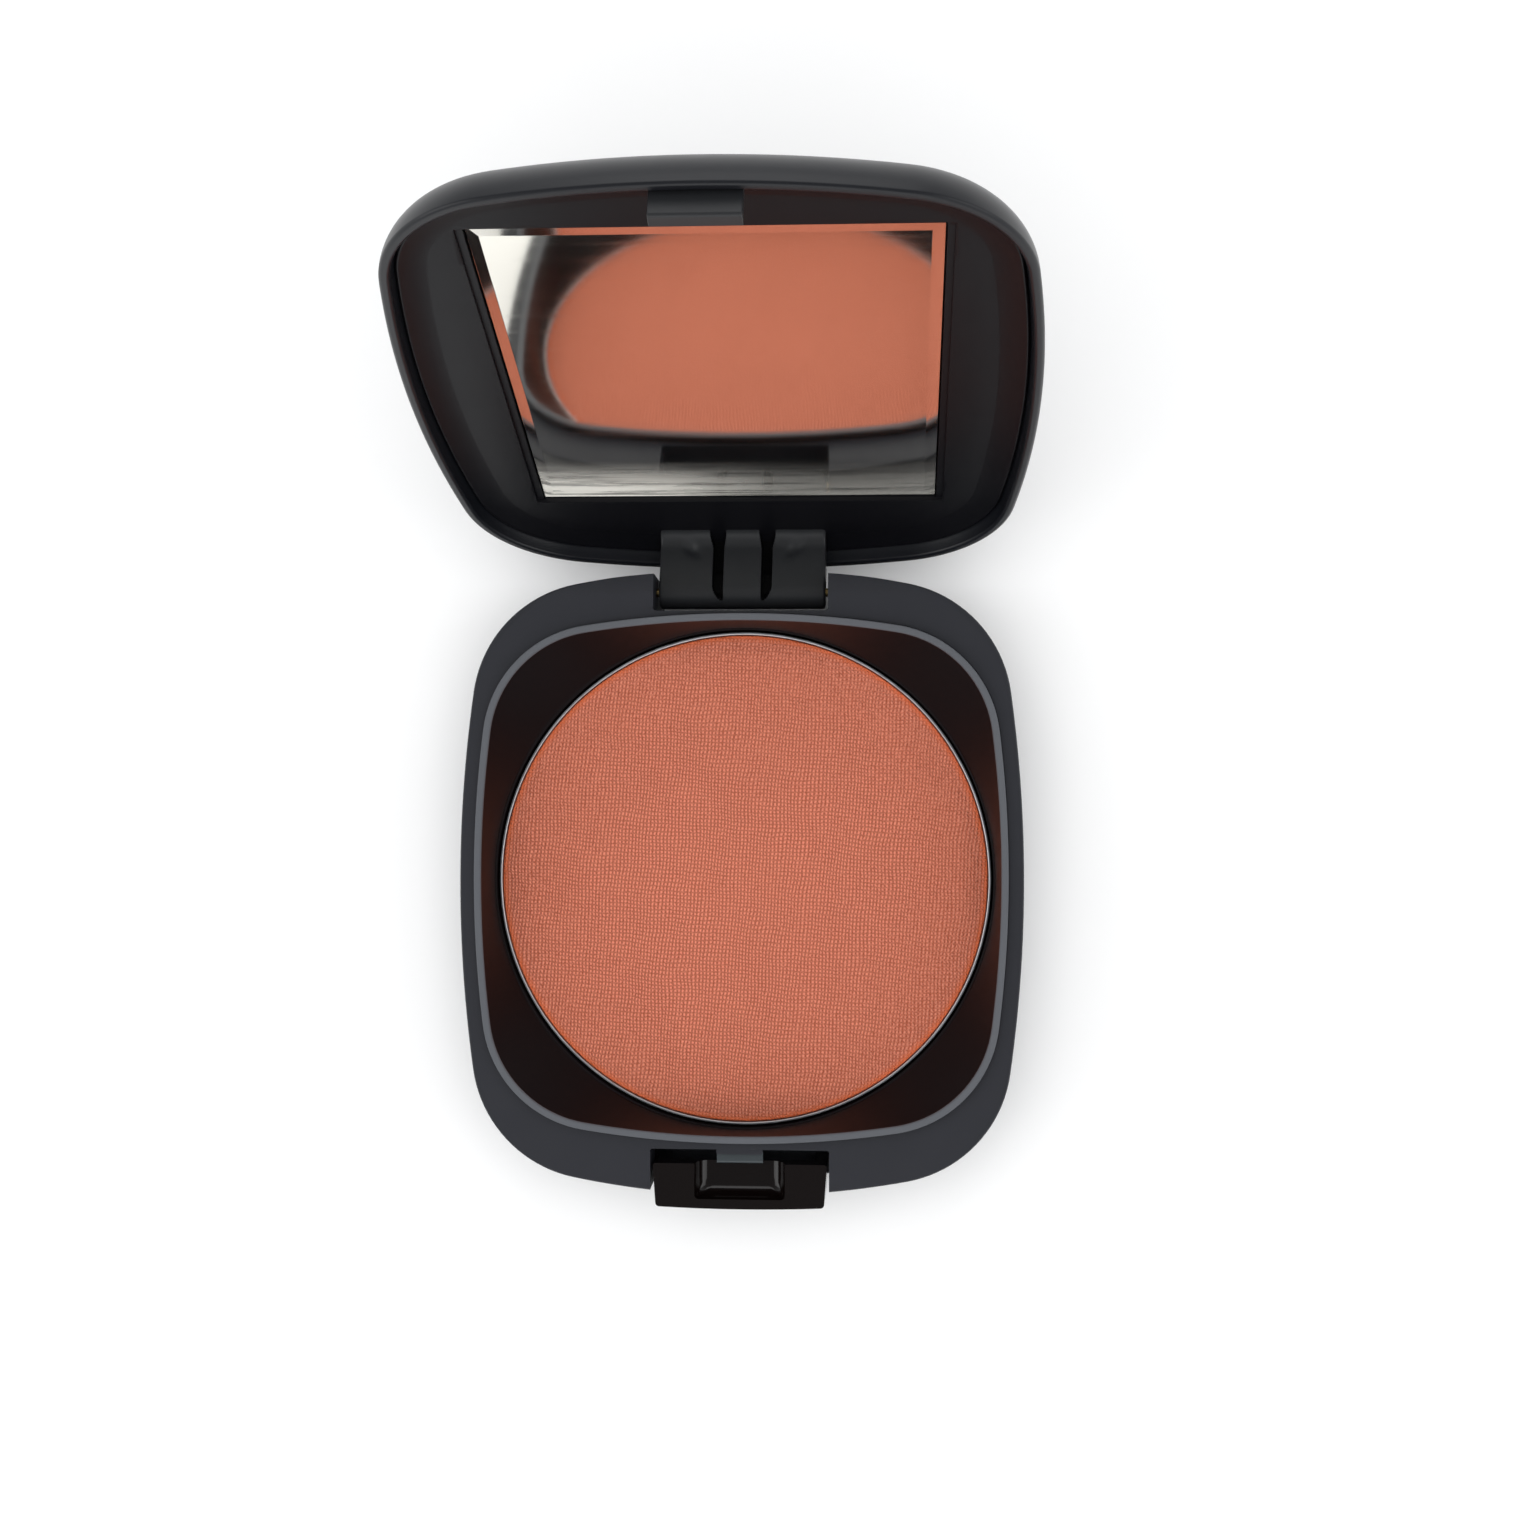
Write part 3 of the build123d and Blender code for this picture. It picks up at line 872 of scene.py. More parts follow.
class Finish(Enum):
    """The finishes of the compact, one for each named material."""

    BASE = Plastic("slate_plastic_finish", (0.0155, 0.0165, 0.0225), roughness=0.5)
    TRAY = TwoTonePlastic(
        "tray_plastic_finish", (0.105, 0.110, 0.122), (0.0075, 0.0055, 0.0060), change_height=13.42
    )
    BUTTON = Plastic(
        "black_gloss_plastic_finish",
        (0.0035, 0.0018, 0.0016),
        roughness=0.13,
        grain=0.3,
        grain_depth=0.0008,
    )
    LID = Plastic(
        "lid_plastic_finish",
        (0.0065, 0.0072, 0.0098),
        roughness=0.34,
        grain_depth=0.002,
        specular=0.45,
    )
    LINER = Plastic(
        "liner_plastic_finish",
        (0.0042, 0.0042, 0.0056),
        roughness=0.36,
        grain_depth=0.002,
        specular=0.2,
    )
    # Glossier copy of the slate for the catch nose; its lighter teal colour is a painted highlight.
    NOSE = Plastic(
        "catch_nose_gloss_and_highlight", (0.045, 0.055, 0.060), roughness=0.22, grain_depth=0.001
    )
    # Lighter copy of the liner plastic for the hinge block and the hook: painted light standing for the
    # light they catch.
    BLOCK = Plastic(
        "liner_plastic_lit_copy", (0.0145, 0.0155, 0.0175), roughness=0.42, grain_depth=0.003
    )
    # Near-black plastic for the faces deep in the hinge block's grooves: painted shade.
    GROOVE = Plastic(
        "groove_painted_shade", (0.0015, 0.0015, 0.0018), roughness=0.6, grain_depth=0.003, specular=0.1
    )
    POWDER = Powder(
        "pressed_powder_finish",
        low=(0.38, 0.074, 0.032),
        high=(0.90, 0.315, 0.205),
        edge=(0.72, 0.135, 0.038),
        radius=29.15,
    )
    PAN = Metal("pan_sheet_finish", (0.88, 0.90, 0.93), 0.42)
    PIN = Metal("brass_wire_finish", (0.83, 0.6, 0.26), 0.25, (9000.0, 900.0, 900.0))
    SPRING = Metal("spring_wire_finish", (0.6, 0.6, 0.62), 0.3)
    MIRROR = Mirror("silvered_glass_finish")
    LABEL = Sheet("label_paper_finish", (0.78, 0.78, 0.76), 0.55)
    FILM = Sheet("adhesive_film_finish", (0.72, 0.68, 0.55), 0.4)

    def made(self) -> bpy.types.Material:
        """The material, made the first time it is asked for."""
        return bpy.data.materials.get(self.value.name) or self.value.material()


def dress(piece: bpy.types.Object, *finishes: Finish) -> bpy.types.Object:
    """Puts finishes in a piece's material slots, in order.

    Args:
        piece: The object that is dressed.
        finishes: Its finishes.

    Returns:
        The same object.
    """
    piece.data.materials.clear()
    for finish in finishes:
        piece.data.materials.append(finish.made())
    return piece


def hand_over(piece: bpy.types.Object, body: str, slot: str, *nodes: str) -> bpy.types.Object:
    """Lets a piece ride on a body in place of its CAD nodes.

    Args:
        piece: The finished object.
        body: CAD body that it rides on.
        slot: Slot in the record for its finish; not used.
        nodes: CAD nodes that it stands for.

    Returns:
        The same object.

    Raises:
        RuntimeError: If the piece has no faces.
    """
    if not piece.data.polygons:
        raise RuntimeError(f"{piece.name} has no faces")
    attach(piece, body)
    if nodes:
        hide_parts(*nodes)
    log.info("%s rides on %s, %d faces", piece.name, body, len(piece.data.polygons))
    return piece


# ---------------------------------------------------------------- shared shapes

CASE = Outline(32.95, 36.6, 159.0, 102.0, 14.9)
LIP = Outline(31.1, 30.8, 138.0, 118.0, 14.05, 0.45)


@dataclass(frozen=True)
class HingeLine:
    """Where the hinge's axis lies and how far the lid stands open.

    Attributes:
        y: Axis position along Y in millimetres.
        z: Axis height in millimetres.
        turn: Opening angle in radians.
    """

    y: float
    z: float
    turn: float

    @classmethod
    def from_frame(cls) -> "HingeLine":
        """Reads the axis and the angle from the frame's lid joint.

        Returns:
            The hinge's line.
        """
        joint = next(j for j in frame["joints"] if j["name"] == "lid_hinge")
        _, y, z = joint["pos_m"]
        return cls(y / MM, z / MM, math.radians(joint["range_deg"][1]))

    def open(self, piece: bpy.types.Object) -> bpy.types.Object:
        """Turns a piece that is drawn shut to where it stands open.

        Args:
            piece: The object that is turned.

        Returns:
            The same object.
        """
        there = Matrix.Translation((0, self.y * MM, self.z * MM))
        piece.data.transform(there @ Matrix.Rotation(-self.turn, 4, "X") @ there.inverted())
        return piece


HINGE = HingeLine.from_frame()


# ---------------------------------------------------------------- base


@dataclass
class BaseShell:
    """The slate base: flange, side wall, hinge notch, latch notch and catch nose."""

    # The case and its inside.
    flange_z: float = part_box("base_shell")[1].z / MM
    shoulder_z: float = 11.2
    floor_z: float = 1.4
    draft: float = 0.9
    foot_round: float = 4.0
    edge_round: float = 0.22
    seam: float = 0.06
    seam_round: float = 0.06
    skirt_inset: float = 0.3
    well_radius: float = 30.5
    well_z: float = 5.4
    # The rolled rear edge and the notch for the hinge block.
    relief_gap: float = 0.07
    rim_z: float = 12.7
    hinge_half: float = 10.2
    hinge_front_y: float = 31.6
    # The latch notch, with a slot for the button's ears at each side.
    latch_half: float = 10.45
    latch_rear_y: float = -31.2
    latch_floor_z: float = 4.0
    slot_half: float = 11.65
    slot_ends: tuple[float, float] = (-34.75, -31.9)
    slot_top_z: float = 7.3
    # The catch: a rounded nose with a thin tongue over it.
    nose_half: float = 2.7
    nose_tip_y: float = -33.0
    nose_heights: tuple[float, float] = (10.9, 11.6)
    tongue_y: float = -31.75
    tongue_z: float = 11.9
    tongue_round: float = 0.25
    catch_root: float = 0.4
    # The label's recess and the pin's bores.
    label_recess: float = 0.25
    label_clearance: float = 0.2
    label_corner: float = 3.0
    pin_radius: float = 0.5
    pin_clearance: float = 0.01
    pin_half: float = 13.0

    def _inside(self) -> list[Ring]:
        """Draws the inside, from its floor up to the flange.

        Returns:
            Its rings.
        """
        well = LIP.circle(self.well_radius)
        rings = [at_height(well, self.floor_z), at_height(well, self.well_z)]
        rings.append(at_height(LIP.ring(self.skirt_inset), self.shoulder_z))
        rings.append(at_height(LIP.ring(-self.seam), self.shoulder_z))
        rings.append(at_height(LIP.ring(-self.seam), self.flange_z - self.seam_round))
        rings.append(at_height(LIP.ring(-self.seam - self.seam_round), self.flange_z))
        return rings

    def _outside(self) -> list[Ring]:
        """Draws the outside, from the flange over its edge and down to the foot.

        Returns:
            Its rings.
        """
        inner = LIP.ring(-self.seam - self.seam_round)
        outer = CASE.ring(self.edge_round)
        rings = [at_height(inner + (outer - inner) * k / 8, self.flange_z) for k in range(1, 8)]
        steps = 10
        wall = soften_path(
            [
                (self.edge_round * 3, self.flange_z),
                (0, self.flange_z, self.edge_round),
                (self.draft, 0, self.foot_round),
                (self.draft + self.foot_round + 0.5, 0),
            ],
            steps=steps,
        )[1:]
        edge, foot = wall[: steps + 1], wall[steps + 1 :]
        top, low = np.array(edge[-1]), np.array(foot[0])
        side = [tuple(top + (low - top) * k / 5) for k in range(1, 5)]
        for inset, z in edge + side + foot:
            rings.append(at_height(CASE.ring(inset), z))
        return rings

    def _relieve(self, ring: Ring) -> Ring:
        """Rolls the rear edge off about the hinge, so that the lid's rim can swing past.

        Args:
            ring: Points with X, Y and Z.

        Returns:
            The points, drawn in where they reached too far.
        """
        reach = self.rim_z - HINGE.z - self.relief_gap
        dy, dz = ring[:, 1] - HINGE.y, ring[:, 2] - HINGE.z
        far = np.hypot(dy, dz)
        beyond = (far > reach) & (dy > 0) & (dz > 0)
        share = np.where(beyond, reach / np.maximum(far, 1e-6), 1.0)
        ring = ring.copy()
        ring[:, 1] = HINGE.y + dy * share
        ring[:, 2] = HINGE.z + dz * share
        return ring

    def _cutters(self) -> list[Solid]:
        """Makes what is cut away.

        Returns:
            The two notches, the ear slots, the label's recess and the pin's bores.
        """
        far, below, above = 45.0, -1.0, 20.0
        half = self.hinge_half
        y = self.hinge_front_y
        hinge = soften_path([(-half, y, 0.35), (half, y, 0.35), (half, far), (-half, far)], 5, True)
        half, y = self.latch_half, self.latch_rear_y
        latch = soften_path([(-half, -far), (half, -far), (half, y, 0.25), (-half, y, 0.25)], 5, True)
        half = self.slot_half
        front, rear = self.slot_ends
        slot = [(-half, front), (half, front), (half, rear), (-half, rear)]
        low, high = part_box("underside_label")
        edge, corner = self.label_clearance, self.label_corner
        left, right = low.x / MM - edge, high.x / MM + edge
        near, back = low.y / MM - edge, high.y / MM + edge
        corners = ((left, near), (right, near), (right, back), (left, back))
        label = soften_path([(x, y, corner) for x, y in corners], 8, True)
        bore = arc(HINGE.y, HINGE.z, self.pin_radius + self.pin_clearance, 0, 345, 23)
        return [
            Solid().prism(hinge, below, above),
            Solid().prism(latch, self.latch_floor_z, above),
            Solid().prism(slot, self.latch_floor_z + 0.001, self.slot_top_z),
            Solid().prism(label, below, self.label_recess),
            Solid().side_prism(bore, -self.pin_half, self.pin_half),
        ]

    def _catch(self) -> list[Solid]:
        """Makes the catch.

        Returns:
            The nose, and the tongue over it at flange height.
        """
        wall = self.latch_rear_y + self.catch_root
        low, high = self.nose_heights
        middle, half = (low + high) / 2, (high - low) / 2
        nose = [(wall, high), *arc(self.nose_tip_y + half, middle, half, 90, 270, 10), (wall, low)]
        width, front, round_ = self.nose_half, self.tongue_y, self.tongue_round
        plan = [(-width, wall), (-width, front, round_), (width, front, round_), (width, wall)]
        tongue = soften_path(plan, 4, True)
        return [
            Solid().side_prism(nose, -width, width),
            Solid().prism(tongue, self.tongue_z, self.flange_z - 0.01),
        ]

    def build(self) -> bpy.types.Object:
        """Makes the base, with the catch nose in a glossier finish whose lighter teal colour is a
        painted highlight.

        Returns:
            The finished object.
        """
        rings = [self._relieve(ring) for ring in self._inside() + self._outside()]
        piece = Solid().rings(rings).build("base_case")
        carve(piece, self._cutters())
        carve(piece, self._catch(), join=True)
        bevel(piece, 0.1, 2, 55)
        dress(shade(piece), Finish.BASE, Finish.NOSE)
        # The catch nose takes the glossier copy of the slate, whose lighter colour is a painted
        # highlight.
        for face in piece.data.polygons:
            x, y, z = face.center / MM
            below = self.nose_heights[0] - 0.2 < z < self.nose_heights[1] + 0.05
            if below and abs(x) < self.nose_half + 0.05 and y < self.latch_rear_y - 0.05:
                face.material_index = 1
        return hand_over(piece, "base", "base_plastic", "base_shell")


@dataclass
class TrayInsert:
    """The insert with the raised lip, the dark dish and the well for the pan."""

    top_z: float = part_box("tray_insert")[1].z / MM
    shoulder_z: float = 11.25
    lip_width: float = 0.84
    outer_round: float = 0.16
    inner_round: float = 0.26
    dish_radius: float = 29.9
    dish_foot_z: float = 6.5
    well_radius: float = 29.72
    floor_z: float = 2.0
    foot_z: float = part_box("tray_insert")[0].z / MM
    skirt_inset: float = 0.45
    skin: float = 0.45
    dish_steps: int = 26

    def build(self) -> bpy.types.Object:
        """Makes the insert.

        Returns:
            The finished object.
        """
        outer = self.dish_radius + self.skin
        rings = [
            at_height(LIP.circle(outer - 1.4), self.foot_z),
            at_height(LIP.circle(outer - 0.4), self.foot_z + 0.4),
            at_height(LIP.circle(outer), self.foot_z + 1.4),
            at_height(LIP.circle(outer), self.dish_foot_z - 1.0),
            at_height(LIP.ring(self.skirt_inset), self.shoulder_z - 0.05),
            at_height(LIP.ring(0), self.shoulder_z),
        ]
        lip = soften_path(
            [
                (0, self.shoulder_z + 0.3),
                (0, self.top_z, self.outer_round),
                (self.lip_width, self.top_z, self.inner_round),
                (self.lip_width, self.top_z - 1),
            ],
            steps=5,
        )[:-1]
        rings += [at_height(LIP.ring(inset), z) for inset, z in lip]
        start = LIP.ring(self.lip_width)
        start_z = lip[-1][1]
        foot = LIP.circle(self.dish_radius)
        for k in range(1, self.dish_steps + 1):
            t = k / self.dish_steps
            z = start_z + (self.dish_foot_z - start_z) * t
            rings.append(at_height(start + (foot - start) * t, z))
        rings += [
            at_height(LIP.circle(self.well_radius), self.dish_foot_z - 0.08),
            at_height(LIP.circle(self.well_radius), self.floor_z),
        ]
        piece = Solid().rings(rings).build("tray")
        dress(shade(piece, math.radians(40)), Finish.TRAY)
        return hand_over(piece, "base", "tray_plastic", "tray_insert")


@dataclass
class PowderPan:
    """The metal pan and the pressed powder in it."""

    low_z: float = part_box("powder_pan")[0].z / MM
    rim_z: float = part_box("powder_pan")[1].z / MM
    radius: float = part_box("powder_pan")[1].x / MM
    sheet: float = 0.35
    foot_round: float = 1.0
    rim_round: float = 0.14
    inside_round: float = 0.3
    cake_top_z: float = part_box("powder_cake")[1].z / MM
    cake_round: float = 0.2
    cake_foot_round: float = 0.35
    cake_lift: float = 0.02
    cake_gap: float = 0.09
    cake_dome: float = 0.05
    steps: int = 240

    def _lathe(self, profile: Path2) -> list[Ring]:
        """Turns a profile about the vertical axis.

        Args:
            profile: Points as (radius, height).

        Returns:
            Its rings.
        """
        turn = np.linspace(0, 2 * math.pi, self.steps, endpoint=False)
        plan = np.stack([np.cos(turn), np.sin(turn)], 1)
        return [at_height(plan * radius, z) for radius, z in profile]

    def build(self) -> list[bpy.types.Object]:
        """Makes the pan and the cake.

        Returns:
            The two finished objects.
        """
        hub, middle = 5.0, 0.6
        inner = self.radius - self.sheet
        floor_z = self.low_z + self.sheet
        profile = soften_path(
            [
                (hub, self.low_z),
                (self.radius, self.low_z, self.foot_round),
                (self.radius, self.rim_z, self.rim_round),
                (inner, self.rim_z, self.rim_round),
                (inner, floor_z, self.inside_round),
                (hub, floor_z),
            ],
            steps=6,
        )
        pan = Solid().rings(self._lathe(profile)).build("pan")
        dress(shade(pan, math.radians(40)), Finish.PAN)
        hand_over(pan, "base", "pan_metal", "powder_pan")

        edge = inner - self.cake_gap
        low_z, top_z = floor_z + self.cake_lift, self.cake_top_z
        skirt = soften_path(
            [
                (hub, low_z),
                (edge, low_z, self.cake_foot_round),
                (edge, top_z, self.cake_round),
                (edge / 2, top_z),
            ],
            steps=6,
        )[:-1]
        crown = [
            (radius, top_z - self.cake_dome * (1 - math.cos(math.pi * radius / edge)) / 2)
            for radius in np.linspace(edge - self.cake_round, middle, 40)
        ]
        cake = Solid().rings(self._lathe(skirt + crown[1:])).build("cake")
        dress(shade(cake, math.radians(40)), Finish.POWDER)
        hand_over(cake, "base", "powder", "powder_cake")
        return [pan, cake]


@dataclass
class Label:
    """The blank label in its recess under the base."""

    corner: float = 3.0
    edge_round: float = 0.04

    def build(self) -> bpy.types.Object:
        """Makes the label.

        Returns:
            The finished object.
        """
        low, high = (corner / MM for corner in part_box("underside_label"))
        corners = ((low.x, low.y), (high.x, low.y), (high.x, high.y), (low.x, high.y))
        outline = soften_path([(x, y, self.corner) for x, y in corners], 10, True)
        piece = Solid().prism(outline, low.z, high.z).build("label")
        bevel(piece, self.edge_round, 2)
        dress(shade(piece), Finish.LABEL)
        return hand_over(piece, "base", "label", "underside_label")


@dataclass
class HingePin:
    """The pin through the base's bores and the lid's barrel."""

    steps: int = 32
    chamfer: float = 0.15
    block_half: float = 9.8

    def build(self) -> bpy.types.Object:
        """Makes the pin.

        Returns:
            The finished object.
        """
        low, high = (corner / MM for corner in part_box("hinge_pin"))
        radius = (high.z - low.z) / 2
        stations = [
            (low.x, radius - self.chamfer),
            (low.x + self.chamfer, radius),
            (-self.block_half, radius),
            (self.block_half, radius),
            (high.x - self.chamfer, radius),
            (high.x, radius - self.chamfer),
        ]
        turn = np.linspace(0, 2 * math.pi, self.steps, endpoint=False)
        rings = [
            np.column_stack(
                [np.full(self.steps, x), HINGE.y + r * np.cos(turn), HINGE.z + r * np.sin(turn)]
            )
            for x, r in stations
        ]
        piece = Solid().rings(rings).build("pin")
        dress(shade(piece), Finish.PIN)
        return hand_over(piece, "base", "pin_metal", "hinge_pin")


# ---------------------------------------------------------------- latch


@dataclass
class Latch:
    """The push button and the spring behind it."""

    # The button, hollow from below.
    low_z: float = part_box("latch_button")[0].z / MM
    top_z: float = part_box("latch_button")[1].z / MM
    front_y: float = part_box("latch_button")[0].y / MM
    rear_y: float = -32.95
    rear_half: float = 10.2
    front_half: float = 9.85
    side_front_y: float = -38.0
    rear_round: float = 0.3
    front_round: float = 0.45
    edge_round: float = 0.22
    wall: float = 1.2
    hollow_top_z: float = 9.3
    # The scoop in its top and the ears at its sides.
    scoop_half: float = 5.3
    scoop_front_y: float = -37.1
    scoop_floor_z: float = 9.9
    scoop_curve: float = 1.7
    scoop_round: float = 0.5
    scoop_spread: float = 0.3
    ear_half: float = 11.5
    ear_root: float = 0.5
    ear_ends: tuple[float, float] = (-34.6, -33.0)
    ear_top_z: float = 7.2
    # The spring: radius of the coil and of the wire, and turns between its closed ends.
    spring_radius: float = 1.3
    wire: float = 0.2
    turns: int = 5
    spring_z: float = 7.0

    def _button(self) -> bpy.types.Object:
        """Makes the push button.

        Returns:
            The finished object.
        """
        bow = 12
        front = [
            (
                self.front_half * (1 - 2 * k / bow),
                self.side_front_y + (self.front_y - self.side_front_y) * (1 - (1 - 2 * k / bow) ** 2),
            )
            for k in range(bow + 1)
        ]
        rear, edge = self.rear_round, self.front_round
        corners = [(-self.rear_half, self.rear_y, rear), (self.rear_half, self.rear_y, rear)]
        outline = soften_path([*corners, (*front[0], edge), *front[1:-1], (*front[-1], edge)], 5, True)
        piece = Solid().prism(outline, self.low_z, self.top_z).build("push_button")
        half = self.front_half - self.wall
        front_y = self.side_front_y + self.wall
        behind = self.rear_y + 1
        hollow = [(-half, front_y), (half, front_y), (half, behind), (-half, behind)]
        inside = Solid().prism(hollow, self.low_z - 1, self.hollow_top_z)
        carve(piece, [inside, self._scoop(behind)])
        ears = []
        front_ear, rear_ear = self.ear_ends
        for side in (-1, 1):
            inner, outer = sorted((side * (self.front_half - self.ear_root), side * self.ear_half))
            plan = [(inner, front_ear), (outer, front_ear), (outer, rear_ear), (inner, rear_ear)]
            ears.append(Solid().prism(plan, self.low_z + 0.01, self.ear_top_z))
        carve(piece, ears, join=True)
        bevel(piece, self.edge_round, 4, 40)
        dress(shade(piece), Finish.BUTTON)
        return hand_over(piece, "latch", "button_plastic", "latch_button")

    def _scoop(self, behind: float) -> Solid:
        """Makes the scoop in the button's top, whose walls curve into its floor.

        Args:
            behind: How far back it runs along Y, past the button's rear.

        Returns:
            The solid that is cut away.
        """
        steps = 9
        deep = self.top_z - self.scoop_floor_z
        rings = []
        for k in range(steps + 1):
            turn = math.pi / 2 * k / steps
            inset = self.scoop_curve * (1 - math.cos(turn))
            half, front = self.scoop_half - inset, self.scoop_front_y + inset
            round_ = self.scoop_round + self.scoop_spread * inset
            plan = [(half, behind), (-half, behind), (-half, front, round_), (half, front, round_)]
            loop = np.array(soften_path(plan, 6, True))
            rings.append(at_height(loop, self.top_z - deep * math.sin(turn)))
        rings.insert(0, rings[0] + np.array([0, 0, 1.0]))
        return Solid().rings(rings)

    def _spring(self) -> bpy.types.Object:
        """Makes the coil spring, with closed ends.

        Returns:
            The finished object.
        """
        low, high = (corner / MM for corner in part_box("latch_spring"))
        start, stop = low.y + self.wire, high.y - self.wire
        steps = 40 * (self.turns + 1)
        flat = 0.1
        line = []
        for k in range(steps + 1):
            t = k / steps
            rise = float(np.clip((t - flat) / (1 - 2 * flat), 0, 1))
            turn = 2 * math.pi * (self.turns + 1) * t
            x = self.spring_radius * math.cos(turn)
            z = self.spring_z + self.spring_radius * math.sin(turn)
            line.append(Vector((x, start + (stop - start) * rise, z)))
        ring_steps = 10
        rings = []
        for k, spot in enumerate(line):
            ahead = (line[min(k + 1, steps)] - line[max(k - 1, 0)]).normalized()
            out = Vector((spot.x, 0, spot.z - self.spring_z)).normalized()
            side = ahead.cross(out).normalized()
            ring = []
            for j in range(ring_steps):
                turn = 2 * math.pi * j / ring_steps
                ring.append(tuple(spot + self.wire * (out * math.cos(turn) + side * math.sin(turn))))
            rings.append(np.array(ring))
        piece = Solid().rings(rings).build("return_spring")
        dress(shade(piece), Finish.SPRING)
        hand_over(piece, "latch", "spring_steel", "latch_spring")
        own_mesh(piece)
        return piece

    def build(self) -> list[bpy.types.Object]:
        """Makes the button and the spring, in that order."""
        return [self._button(), self._spring()]


# ---------------------------------------------------------------- lid


@dataclass
class LidShell:
    """The outer lid, drawn shut and turned open."""

    rim_z: float = 12.7
    top_z: float = 18.8
    edge_round: float = 5.7
    wall: float = 1.1
    skin: float = 1.2
    rim_round: float = 0.38

    def build(self) -> bpy.types.Object:
        """Makes the shell.

        Returns:
            The finished object.
        """
        deep = 14.0
        outside = soften_path(
            [
                (self.wall / 2, self.rim_z),
                (0, self.rim_z, self.rim_round),
                (0, self.top_z, self.edge_round),
                (deep, self.top_z),
            ],
            steps=18,
        )
        inside = soften_path(
            [
                (deep, self.top_z - self.skin),
                (self.wall, self.top_z - self.skin, self.edge_round - self.wall),
                (self.wall, self.rim_z, self.rim_round),
                (self.wall / 2, self.rim_z),
            ],
            steps=12,
        )[:-1]
        rings = [at_height(CASE.ring(inset), z) for inset, z in outside]
        back = [at_height(CASE.ring(inset), z) for inset, z in inside]
        piece = Solid()
        piece.rings(rings, caps=False)
        piece.rings([*back, rings[0]], caps=False)
        size = len(rings[0])
        piece.faces.append(tuple(range((len(rings) - 1) * size, len(rings) * size)))
        second = len(rings) * size
        piece.faces.append(tuple(range(second, second + size)))
        shell = HINGE.open(piece.build("lid_case"))
        dress(shade(shell, math.radians(40)), Finish.LID)
        return hand_over(shell, "lid", "lid_plastic", "lid_shell")


